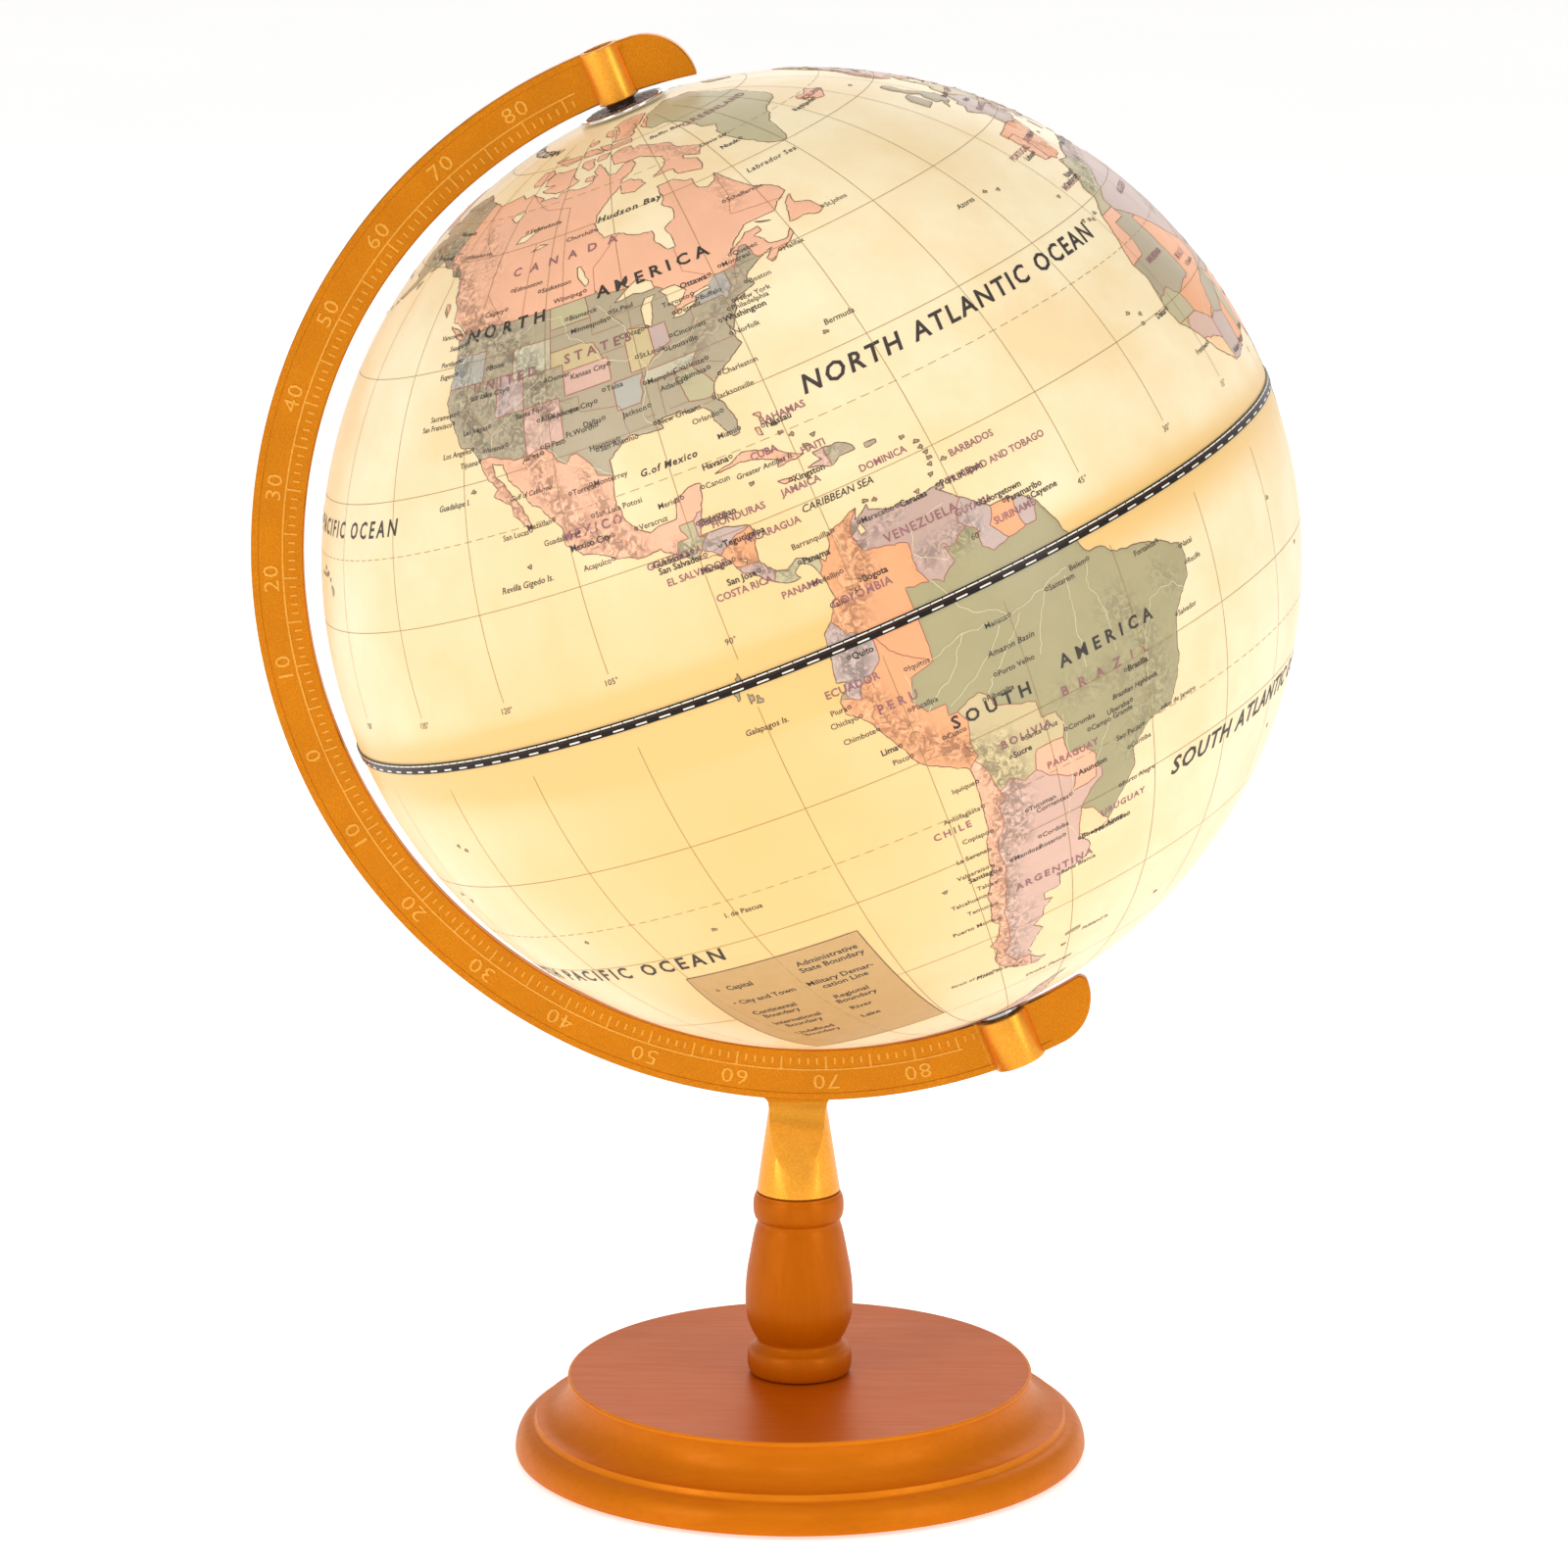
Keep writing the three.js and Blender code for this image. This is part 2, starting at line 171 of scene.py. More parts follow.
def rounded(corners, radius, steps=3):
    """A profile of (x, y) corners with each corner taken off by a small round."""
    points = []
    for i, corner in enumerate(corners):
        here = Vector(corner)
        before, after = Vector(corners[i - 1]), Vector(corners[(i + 1) % len(corners)])
        cut = min(radius, (before - here).length * 0.45, (after - here).length * 0.45)
        start = here + (before - here).normalized() * cut
        end = here + (after - here).normalized() * cut
        for step in range(steps + 1):
            t = step / steps
            point = start * (1 - t) ** 2 + here * 2 * t * (1 - t) + end * t**2
            points.append((max(point.x, 0.0), point.y))
    return points


def smooth_line(points, steps):
    """A Catmull-Rom curve through the points."""
    padded = [points[0], *points, points[-1]]
    line = []
    for i in range(len(points) - 1):
        a, b, c, d = (np.array(p, float) for p in padded[i:i + 4])
        for step in range(steps):
            t = step / steps
            line.append(tuple(0.5 * (2 * b + (c - a) * t + (2 * a - 5 * b + 4 * c - d) * t**2
                                     + (3 * b - a - 3 * c + d) * t**3)))
    return [*line, tuple(points[-1])]


def applied(made):
    """Puts an object's modifiers into its mesh."""
    graph = bpy.context.evaluated_depsgraph_get()
    mesh = bpy.data.meshes.new_from_object(made.evaluated_get(graph))
    made.modifiers.clear()
    made.data = mesh
    return made


def boolean(target, tool, operation):
    """Adds or cuts one closed object with another, which is then removed."""
    modifier = target.modifiers.new("boolean", "BOOLEAN")
    modifier.object = tool
    modifier.operation = operation
    modifier.solver = "EXACT"
    bpy.context.view_layer.update()
    applied(target)
    bpy.data.objects.remove(tool)


def text_mesh(body, cap_height, depth=0.0, shear=0.0, weight=0.0, spacing=1.0, wide=1.0):
    """A word as a mesh, centred on the origin: its capitals are cap_height tall."""
    data = bpy.data.curves.new("word", "FONT")
    data.body = body
    data.size = cap_height / CAP_SHARE
    data.align_x = "CENTER"
    data.extrude = depth / 2
    data.shear = shear
    data.offset = weight
    data.space_character = spacing
    data.resolution_u = 2
    holder = bpy.data.objects.new("word", data)
    bpy.context.scene.collection.objects.link(holder)
    bpy.context.view_layer.update()
    mesh = bpy.data.meshes.new_from_object(holder.evaluated_get(bpy.context.evaluated_depsgraph_get()))
    bpy.data.objects.remove(holder)
    bpy.data.curves.remove(data)
    mesh.transform(Matrix.Translation((0, -cap_height / 2, 0)))
    mesh.transform(Matrix.Diagonal((wide, 1, 1, 1)))
    return mesh


def finish_piece(made, body, slot, *nodes):
    """Names the body that a piece moves with, and hides the solids that it stands for. The slot is not used.
    """
    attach(made, body)
    if nodes:
        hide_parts(*nodes)
    return made


# ---------------------------------------------------------------- materials


def colour(red, green, blue):
    """A display colour from 0 to 255 as a linear one."""
    shares = [x / 255 for x in (red, green, blue)]
    return (*[s / 12.92 if s <= 0.04045 else ((s + 0.055) / 1.055) ** 2.4 for s in shares], 1.0)


def shaded(tint, share, lift=0.0):
    """A linear colour made darker or lighter."""
    return (*[min(1, c * share + lift) for c in tint[:3]], 1)


class Finish:
    """A node material round one Principled shader."""

    def __init__(self, name, **sockets):
        self.material = bpy.data.materials.new(name)
        self.material.use_nodes = True
        self.tree = self.material.node_tree
        self.shader = self.tree.nodes["Principled BSDF"]
        self.set(self.shader, **sockets)

    def feed(self, socket, value):
        """Links another node's output to a socket, or sets the socket's own value."""
        if isinstance(value, bpy.types.NodeSocket):
            self.tree.links.new(value, socket)
        else:
            socket.default_value = value

    def set(self, node, **sockets):
        for key, value in sockets.items():
            self.feed(node.inputs[key.replace("_", " ")], value)

    def node(self, kind, settings=None, **sockets):
        made = self.tree.nodes.new("ShaderNode" + kind)
        for key, value in (settings or {}).items():
            setattr(made, key, value)
        self.set(made, **sockets)
        return made

    def place(self, scale=(1, 1, 1), turn=(0, 0, 0)):
        """The object's own coordinates in millimetres, stretched and turned."""
        source = self.node("TexCoord").outputs["Object"]
        sizes = tuple(s / MM for s in scale)
        return self.node("Mapping", Vector=source, Scale=sizes, Rotation=turn).outputs["Vector"]

    def noise(self, where, scale, detail=4.0, roughness=0.55, distortion=0.0):
        sockets = {"Scale": scale, "Detail": detail, "Roughness": roughness, "Distortion": distortion}
        return self.node("TexNoise", Vector=where, **sockets).outputs["Fac"]

    def ramp(self, factor, *stops):
        made = self.node("ValToRGB", Fac=factor)
        elements = made.color_ramp.elements
        while len(elements) < len(stops):
            elements.new(0.5)
        for element, (position, value) in zip(elements, stops):
            element.position = position
            element.color = value if isinstance(value, tuple) else (value, value, value, 1)
        return made.outputs["Color"]

    def mix(self, factor, first, second):
        """The first colour, and more of the second one as the factor grows."""
        made = self.node("Mix", {"data_type": "RGBA"})
        for index, value in ((0, factor), (6, first), (7, second)):
            self.feed(made.inputs[index], value)
        return made.outputs[2]

    def product(self, first, second):
        made = self.node("Math", {"operation": "MULTIPLY"})
        for index, value in enumerate((first, second)):
            self.feed(made.inputs[index], value)
        return made.outputs[0]

    def bump(self, height, distance, strength=1.0):
        made = self.node("Bump", Height=height, Distance=distance * MM, Strength=strength)
        self.set(self.shader, Normal=made.outputs["Normal"])


WOOD_SHEEN = (1.0, 0.58, 0.2, 1)


def stained_wood(name, grain, face, dark, edge):
    """Honey stain under satin lacquer: hardly any grain, fine pores and a soft mottle."""
    finish = Finish(name, Metallic=0.2, Coat_Weight=0.03, Coat_Roughness=0.2)
    finish.set(finish.shader, Specular_IOR_Level=0.2, Specular_Tint=WOOD_SHEEN)
    along = finish.place(grain)
    fibres = finish.noise(along, 0.35, 6, 0.6, 0.6)
    bands = finish.noise(along, 0.05, 3, 0.5, 0.3)
    pores = finish.noise(finish.place(tuple(g * 1.6 for g in grain)), 1.3, 3, 0.7)
    mottle = finish.noise(finish.place(), 0.035, 3, 0.5)
    tone = finish.mix(finish.ramp(fibres, (0.36, 0.14), (0.6, 0)), face, dark)
    tone = finish.mix(finish.ramp(bands, (0.4, 0), (0.7, 0.08)), tone, edge)
    tone = finish.mix(finish.ramp(mottle, (0.35, 0.16), (0.6, 0)), tone, dark)
    tone = finish.mix(finish.ramp(pores, (0.3, 0.2), (0.42, 0)), tone, dark)
    finish.set(finish.shader, Base_Color=tone, Roughness=finish.ramp(fibres, (0.3, 0.46), (0.7, 0.36)))
    finish.bump(pores, 0.04, 0.2)
    return finish.material


def speckled(name, base, light, roughness, metallic, grain=0.7, bump=0.04, gloss=0.5):
    """Sprayed paint, cast metal or moulded plastic: a fine fleck and a slight orange peel."""
    finish = Finish(name, Metallic=metallic, Specular_IOR_Level=gloss)
    where = finish.place()
    fleck = finish.noise(where, 3.2 * grain, 2, 0.7)
    cloud = finish.noise(where, 0.06, 3, 0.5)
    tone = finish.mix(finish.ramp(fleck, (0.42, 0), (0.68, 1)), base, light)
    tone = finish.mix(finish.ramp(cloud, (0.35, 0.25), (0.65, 0)), tone, shaded(base, 0.7))
    rough = finish.ramp(cloud, (0.3, roughness * 0.85), (0.7, roughness * 1.15))
    finish.set(finish.shader, Base_Color=tone, Roughness=rough)
    finish.bump(finish.noise(where, 0.9 * grain, 3, 0.6), bump, 0.5)
    return finish.material


WOOD_FACE = colour(190, 96, 2)
WOOD_DARK = colour(148, 66, 1)
# A light wood tone: the grain bands of the base and the column, and the painted highlight on the base's step
# and lip.
WOOD_BAND_AND_HIGHLIGHT = colour(222, 124, 16)
BOARD_GRAIN = (0.12, 1.4, 1.4)
POST_GRAIN = (1.5, 1.5, 0.12)
base_wood = stained_wood("base_wood", BOARD_GRAIN, colour(208, 112, 8), colour(170, 78, 4), WOOD_BAND_AND_HIGHLIGHT)
# Painted shade: a darker copy of the base's own wood, put on the flat top of the same turned disc, for how
# the flat top falls darker than the rims.
plate_wood_painted_shade = stained_wood("plate_wood_painted_shade", BOARD_GRAIN, colour(190, 90, 2), colour(168, 76, 2), WOOD_FACE)
column_wood = stained_wood("column_wood", POST_GRAIN, WOOD_FACE, WOOD_DARK, WOOD_BAND_AND_HIGHLIGHT)
# Painted highlight: a lighter copy of the base's wood, for the thin lines of light along the step and the
# rounded lip.
lip_wood_painted_highlight = stained_wood("lip_wood_painted_highlight", BOARD_GRAIN, WOOD_BAND_AND_HIGHLIGHT, WOOD_FACE, colour(238, 160, 60))
gold_paint = speckled("gold_paint", colour(200, 114, 2), colour(222, 140, 14), 0.34, 0.8)
# Painted highlight: a lighter copy of the arm's gold, for the light that the raised ticks, scale line and
# numbers catch.
gold_marks_painted_highlight = speckled("gold_marks_painted_highlight", colour(228, 154, 42), colour(242, 184, 84), 0.4, 0.6)
# Painted highlight: a brighter copy of the arm's gold, for the light on the round bosses and the socket cone
# of the same casting.
gold_painted_highlight = speckled("gold_painted_highlight", colour(242, 156, 32), colour(252, 184, 72), 0.36, 0.7)
chrome_plate = speckled("chrome_plate", (0.75, 0.75, 0.76, 1), (0.85, 0.85, 0.86, 1), 0.09, 1.0, 0.4, 0.01)
steel_plate = speckled("steel_plate", (0.42, 0.41, 0.40, 1), (0.55, 0.54, 0.53, 1), 0.32, 1.0, 1.0, 0.02)
brass_plate = speckled("brass_plate", (0.60, 0.42, 0.15, 1), (0.75, 0.55, 0.22, 1), 0.3, 1.0, 1.0, 0.02)
black_plastic = speckled("black_plastic", (0.012, 0.012, 0.012, 1), (0.025, 0.024, 0.023, 1), 0.4, 0.0)
white_plastic = speckled("white_plastic", (0.75, 0.73, 0.68, 1), (0.8, 0.78, 0.73, 1), 0.4, 0.0)
black_rubber = speckled("black_rubber", (0.015, 0.015, 0.015, 1), (0.03, 0.03, 0.03, 1), 0.75, 0.0, 1.0, 0.06)
dial_print = speckled("dial_print", colour(44, 22, 10), colour(92, 48, 24), 0.5, 0.0, 0.7, 0.03, 0.15)
dial_ink = speckled("dial_ink", colour(196, 160, 118), colour(214, 182, 144), 0.45, 0.0)
bulb_glass = speckled("bulb_glass", (0.85, 0.82, 0.74, 1), (0.9, 0.87, 0.8, 1), 0.25, 0.0)


def felt_cloth():
    finish = Finish("felt_cloth", Roughness=0.95, Sheen_Weight=0.4, Sheen_Roughness=0.5)
    where = finish.place()
    fuzz = finish.noise(where, 1.6, 5, 0.75, 1.5)
    greens = (0.3, colour(16, 36, 26)), (0.55, colour(30, 62, 44)), (0.75, colour(58, 88, 68))
    tone = finish.ramp(fuzz, *greens)
    finish.set(finish.shader, Base_Color=tone)
    finish.bump(fuzz, 0.3, 0.7)
    return finish.material


felt = felt_cloth()

# ---------------------------------------------------------------- wooden stand

BASE_RADIUS = 90.45
BASE_UNDERSIDE = 1
PLATE_EDGE = 72.5
PLATE_TOP = 25.7
LIP_FOOT = 23.9
COLUMN_TOP = 85.3
COLUMN_FOOT = 20.3
ROD_HOLE = 3.4
SOCKET_RADIUS = 9.3  # the hole in the plate that the column's foot stands in
NUT_RECESS = 13
FELT_RADIUS = 84
FELT_THICKNESS = 0.7


def base_parts():
    """The moulded base: an ovolo foot, a small step, a cove, and a flat plate with a rounded lip."""
    ovolo = arc((84.6, 1.8), (5.85, 8.4), 0, 78, 14)
    step = [(84.45, 10.35), (84.2, 10.8), (83.85, 11.5), (83.6, 12.25)]
    cove = arc((83.7, 24.1), (10.7, 11.9), 264, 184, 16)
    lip = [(73.0, 24.0), (73.35, 24.15)] + arc((72.7, 24.9), (0.85, 0.8), -30, 90, 6)
    plate = [(72.0, PLATE_TOP - 0.06), (60, PLATE_TOP - 0.08), (SOCKET_RADIUS, PLATE_TOP - 0.08)]
    hole = [(SOCKET_RADIUS, 20), (ROD_HOLE, 20), (ROD_HOLE, 10)]
    recess = [(NUT_RECESS, 10), (NUT_RECESS, BASE_UNDERSIDE)]
    foot = [(BASE_RADIUS - 0.7, BASE_UNDERSIDE), (BASE_RADIUS - 0.2, 1.15)]
    profile = [*foot, *ovolo, *step, *cove, *lip, *plate, *hole, *recess]
    made = Shape().turned(profile, 180).build("base_disc_turned", base_wood, smooth_angle=50)
    made.data.materials.append(lip_wood_painted_highlight)
    made.data.materials.append(plate_wood_painted_shade)
    for face in made.data.polygons:
        radius = math.hypot(face.center.x, face.center.y) / MM
        height = face.center.z / MM
        # painted highlight: the step and the lip take the lighter copy of the wood
        on_step_painted_highlight = 83.4 < radius < 84.7 and 9.9 < height < 12.4
        on_lip_painted_highlight = radius > PLATE_EDGE and height > LIP_FOOT
        # painted shade: faces of the flat top take the darker copy of the wood
        on_plate_painted_shade = SOCKET_RADIUS + 0.2 < radius <= PLATE_EDGE and height > LIP_FOOT
        face.material_index = 2 if on_plate_painted_shade else int(on_step_painted_highlight or on_lip_painted_highlight)
    finish_piece(made, "stand", "stained_wood", "base_disc")


def column_part():
    """The turned baluster with a bead at each end."""
    foot = [(9, COLUMN_FOOT), (9, 26), (14.9, 26.0)]
    foot_bead = arc((15.2, 30.2), (1.35, 4.2), -80, 70, 14)
    neck = [(15.1, 34.5), (14.5, 34.9), (14.15, 35.4), (13.6, 35.9), (13.38, 36.4)]
    belly = [(13.5, 37.2), (14.8, 39.4), (16.2, 43), (16.9, 46.5), (17, 50.5), (16.9, 54.2), (16.4, 59.2),
             (15.5, 64.3), (14.55, 69.5), (13.75, 73.2)]
    belly = smooth_line(belly, 5)
    groove = [(13.35, 74.4), (13.1, 75.2), (13.05, 76.0), (13.2, 76.6)]
    bead = arc((13.3, 80.6), (1.0, 3.9), -75, 70, 14)
    top = [(13.35, 84.7), (13.25, COLUMN_TOP), (ROD_HOLE, COLUMN_TOP), (ROD_HOLE, COLUMN_FOOT)]
    profile = [*foot, *foot_bead, *neck, *belly, *groove, *bead, *top]
    made = Shape().turned(profile, 120).build("column_turned", column_wood, smooth_angle=50)
    finish_piece(made, "stand", "stained_wood", "column")


def felt_pad():
    """A disc of felt under the base, slightly wavy at its cut edge."""
    segments, rows = 200, 14
    points, faces = [], []
    for side, height in ((0, 0.0), (1, FELT_THICKNESS)):
        for row in range(rows + 1):
            for s in range(segments):
                angle = FULL_TURN * s / segments
                reach = FELT_RADIUS * row / rows
                if row == rows:
                    reach += 0.04 * math.sin(23 * angle + side) + 0.03 * math.sin(61 * angle) - 0.15
                points.append((reach * math.cos(angle), reach * math.sin(angle), height))
    layer = (rows + 1) * segments
    for row in range(rows):
        for s in range(segments):
            a, b = row * segments + s, row * segments + (s + 1) % segments
            faces.append([a, b, b + segments, a + segments])
            faces.append([layer + a, layer + a + segments, layer + b + segments, layer + b])
    for s in range(segments):
        a, b = rows * segments + s, rows * segments + (s + 1) % segments
        faces.append([a, b, layer + b, layer + a])
    made = Shape().add(points, faces).build("felt_pad_cut", felt)
    finish_piece(made, "stand", "felt", "base_felt_pad")


base_parts()
column_part()
felt_pad()

# ---------------------------------------------------------------- meridian arm

ARM_ACROSS, ARM_ALONG = -2.2, -0.3
ARM_OUTER, ARM_INNER = 172.65, 156.25
TIP_RADIUS = 16
TOP_TIP, BOTTOM_TIP = 85.8, -84.35
TIP_FILLET = 2.4
ARM_HALF = 1.85
RELIEF_HALF = 2.1
ARM_FRAME = AXIS_FRAME @ Matrix.Translation((ARM_ACROSS, 0, ARM_ALONG)) @ Matrix.Rotation(math.pi / 2, 4, "X")
ARM_BACK_FRAME = ARM_FRAME @ Matrix.Rotation(math.pi, 4, "X")
RIM_INNER, RIM_OUTER = 170.3, 172.5
SCALE_INNER, SCALE_OUTER = 162.35, 163.0
LONG_TICK, SHORT_TICK = (158.2, 162.5), (158.7, 160.9)
TICK_HALF = 0.34
NUMBER_REACH, NUMBER_HEIGHT = 166.6, 4.9
RIDGE = [(-9.0, -171.6), (-8.75, -171.6), (-8.75, -156.4), (-9.0, -156.4)]
# Holes along the axis: radius, lowest and highest point.
ARM_BORES = [(2.7, 150, 180), (4.7, 168.2, 180), (4.3, -180, -150), (6.8, -180, -169.4)]
SOCKET_TOP = 114.5


def polar(radius, degrees):
    angle = math.radians(degrees)
    return radius * math.cos(angle), radius * math.sin(angle)


def bearing(x, y):
    return math.degrees(math.atan2(y, x))


def arm_outline(steps):
    """The band round the globe, with a large round on the outside corner of each tip."""
    reach = ARM_OUTER - TIP_RADIUS
    top, bottom = polar(reach, TOP_TIP), polar(reach, BOTTOM_TIP)
    fillet_reach = ARM_INNER + TIP_FILLET
    gap = TIP_RADIUS - TIP_FILLET
    along = (fillet_reach**2 - gap**2 + reach**2) / (2 * reach)
    turn = BOTTOM_TIP + bearing(along, math.sqrt(fillet_reach**2 - along**2))
    fillet = polar(fillet_reach, turn)
    fillet_start = bearing(fillet[0] - bottom[0], fillet[1] - bottom[1])
    top_end = TOP_TIP - bearing(reach, TIP_RADIUS)

    def circle(centre, radius, start, end, count):
        return arc(centre, (radius, radius), start, end, count)

    return [
        *circle((0, 0), ARM_OUTER, TOP_TIP, BOTTOM_TIP + 360, steps),
        *circle(bottom, TIP_RADIUS, BOTTOM_TIP, fillet_start, 22)[1:],
        *circle(fillet, TIP_FILLET, fillet_start, turn + 180, 10)[1:],
        *circle((0, 0), ARM_INNER, turn + 360, top_end, steps)[1:],
        *circle(top, TIP_RADIUS, TOP_TIP - 90, TOP_TIP, 22)[:-1],
    ]


def bar(inner, outer, half):
    """A straight mark that points away from the centre."""
    return [(inner, -half), (outer, -half), (outer, half), (inner, half)]


def ring_strip(low, high, start, end, steps):
    outer = arc((0, 0), (high, high), start, end, steps)
    return [*outer, *arc((0, 0), (low, low), end, start, steps)]


def arm_casting():
    """The arm, its two bosses and its socket as one casting, with its edges softened."""
    body = Shape().prism(arm_outline(180), -ARM_HALF, ARM_HALF, ARM_FRAME, 0.4)
    casting = body.build("meridian_arm_cast", gold_paint)
    north = rounded([(0, 155), (6.4, 155), (6.4, 172.3), (0, 172.3)], 0.5)
    south = rounded([(0, -173.3), (8.25, -173.3), (8.25, -156.8), (0, -156.8)], 0.5)
    for profile in (north, south):
        boolean(casting, Shape().turned(profile, 72, AXIS_FRAME).build("tool", None), "UNION")
    boolean(casting, socket_cone(), "UNION")
    for radius, low, high in ARM_BORES:
        tool = Shape().turned([(0, low), (radius, low), (radius, high), (0, high)], 60, AXIS_FRAME)
        boolean(casting, tool.build("tool", None), "DIFFERENCE")
    pocket = Shape().turned([(0, 80), (5.5, 80), (5.5, 104.4), (0, 104.4)], 48).build("tool", None)
    boolean(casting, pocket, "DIFFERENCE")
    soften = casting.modifiers.new("soften", "BEVEL")
    soften.width = 0.5 * MM
    soften.segments = 3
    soften.limit_method = "ANGLE"
    soften.angle_limit = math.radians(38)
    applied(casting)
    # painted highlight: faces of the bosses and of the socket cone take the brighter copy of the gold
    casting.data.materials.append(gold_painted_highlight)
    for face in casting.data.polygons:
        on_boss_painted_highlight = abs(face.center.y) > (ARM_HALF + 0.3) * MM
        height, aside = face.center.z / MM, abs(face.center.x) / MM
        on_socket_painted_highlight = height < SOCKET_TOP and aside < 14.2 - 0.13 * (height - 86)
        face.material_index = int(on_boss_painted_highlight or on_socket_painted_highlight)
    for raised in raised_marks():
        join(casting, raised)
    casting.data.shade_smooth()
    casting.data.set_sharp_from_angle(angle=math.radians(35))
    finish_piece(casting, "stand", "gold_paint", "meridian_arm")


def join(target, other):
    """Puts another object's mesh into the target's, with a material slot of its own."""
    target.data.materials.append(other.data.materials[0])
    for face in other.data.polygons:
        face.material_index = len(target.data.materials) - 1
    work = bmesh.new()
    work.from_mesh(target.data)
    work.from_mesh(other.data)
    work.to_mesh(target.data)
    work.free()
    bpy.data.objects.remove(other)


def socket_cone():
    """The tapered foot of the casting, with an inclined flat on its front and back."""
    flare = arc((13.2, 113.2), (4.0, 3.6), 172, 110, 6)
    profile = [(0, 85.6), (12.8, 85.6), (13.1, 85.9), (9.24, 112.2), *flare[1:], (12.2, 118.5), (0, 118.5)]
    cone = Shape().turned(profile, 128).build("tool", None)
    for side in (-1, 1):
        wedge = [(14, 88.45), (25, 88.45), (25, 130), (ARM_HALF + 0.02, 130), (ARM_HALF + 0.02, 114.6)]
        outline = [(side * y, z) for y, z in wedge][::side]
        lie = Matrix(((0, 0, 1, 0), (1, 0, 0, 0), (0, 1, 0, 0), (0, 0, 0, 1)))
        boolean(cone, Shape().prism(outline, -25, 25, lie).build("tool", None), "DIFFERENCE")
    return cone


def raised_marks():
    """The rim, scale line, degree ticks and numbers that stand up from both faces of the arm."""
    marks, rims = Shape(), Shape()
    low, high = ARM_HALF - 0.2, RELIEF_HALF
    stand_up = Matrix.Translation((NUMBER_REACH, 0, (low + high) / 2)) @ Matrix.Rotation(-math.pi / 2, 4, "Z")
    for side, face in ((-1, ARM_FRAME), (1, ARM_BACK_FRAME)):
        rim = ring_strip(RIM_INNER, RIM_OUTER, TOP_TIP + 1, 360 + BOTTOM_TIP - 1, 180)
        rims.prism(rim, low, high, face, 0.12)
        marks.prism(ring_strip(SCALE_INNER, SCALE_OUTER, 93.4, 265.4, 172), low, high, face, 0.1)
        for degree in range(-86, 88):
            turn = Matrix.Rotation(math.radians(180 - side * degree), 4, "Z")
            tick = bar(*(SHORT_TICK if degree % 5 else LONG_TICK), TICK_HALF)
            marks.prism(tick, low, high, face @ turn, 0.12)
        for number in range(0, 90, 10):
            for way in (-1, 1) if number else (1,):
                turn = Matrix.Rotation(math.radians(180 - side * way * number), 4, "Z")
                mesh = text_mesh(str(number), NUMBER_HEIGHT, high - low, spacing=1.1, wide=1.25)
                marks.add_mesh(mesh, face @ turn @ stand_up)
                bpy.data.meshes.remove(mesh)
        ridge = [(x - ARM_ACROSS, -side * (y - ARM_ALONG)) for x, y in RIDGE]
        marks.prism(ridge[::-side], low, high, face)
    # The marks take the lighter gold, a painted highlight. The rims keep the arm's own gold.
    return rims.build("rims", gold_paint, merge=False), marks.build("marks", gold_marks_painted_highlight, merge=False)


arm_casting()

# ---------------------------------------------------------------- hour dial and poles


DIAL_TOP = 152.95


def hour_dial():
    """A plated dish at the north pole, with a printed card of two rounds of twelve hours."""
    rim = [(2.9, 152.0), (13.9, 152.0), *arc((13.95, 152.55), (0.4, 0.55), -90, 90, 8), (13.7, 153.1),
           (13.3, DIAL_TOP), (12.5, 152.5), (12.15, 152.36), (2.9, 152.35)]
    made = Shape().turned(rim, 120, AXIS_FRAME).build("hour_dial_dish", chrome_plate)
    finish_piece(made, "hour_dial", "chrome", "hour_dial_rim")
    face = rounded([(2.9, 152.65), (12, 152.65), (12, DIAL_TOP), (2.9, DIAL_TOP)], 0.08)
    made = Shape().turned(face, 96, AXIS_FRAME).build("hour_dial_card", dial_print)
    finish_piece(made, "hour_dial", "dial_print", "hour_dial_face")
    marks = Shape()
    for hour in range(48):
        inner, half = (10.9, 0.14) if hour % 2 else (9.9, 0.22)
        turn = Matrix.Rotation(math.radians(hour * 7.5), 4, "Z")
        marks.prism(bar(inner, 11.7, half), DIAL_TOP - 0.05, 153.0, AXIS_FRAME @ turn)
    marks.prism(ring_strip(9.2, 9.4, 0, 359.9, 90), DIAL_TOP - 0.05, 152.99, AXIS_FRAME)
    for hour in range(24):
        number = text_mesh(str(hour % 12 or 12), 1.5, 0.1)
        turn = Matrix.Rotation(math.radians(-hour * 15), 4, "Z") @ Matrix.Translation((0, 7.7, DIAL_TOP))
        marks.add_mesh(number, AXIS_FRAME @ turn)
        bpy.data.meshes.remove(number)
    made = marks.build("hour_dial_marks", dial_ink, merge=False)
    finish_piece(made, "hour_dial", "dial_print")


hour_dial()

HARDWARE_FINISHES = (
    (steel_plate, "base_nut base_lock_washer base_washer tie_rod north_axle_screw south_axle_tube"),
    (steel_plate, "south_axle_nut south_axle_collar"),
    (brass_plate, "arm_thread_insert bulb_cap"),
    (dial_print, "north_spacer_washer"),
    (white_plastic, "south_thrust_washer lamp_holder globe_seam_ring"),
    (black_plastic, "north_bush south_bush"),
    (black_rubber, "cord_grommet"),
    (bulb_glass, "bulb_envelope"),
)
for finish, nodes in HARDWARE_FINISHES:
    for node in nodes.split():
        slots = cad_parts[node].data.materials
        slots.clear()
        slots.append(finish)

# ---------------------------------------------------------------- globe

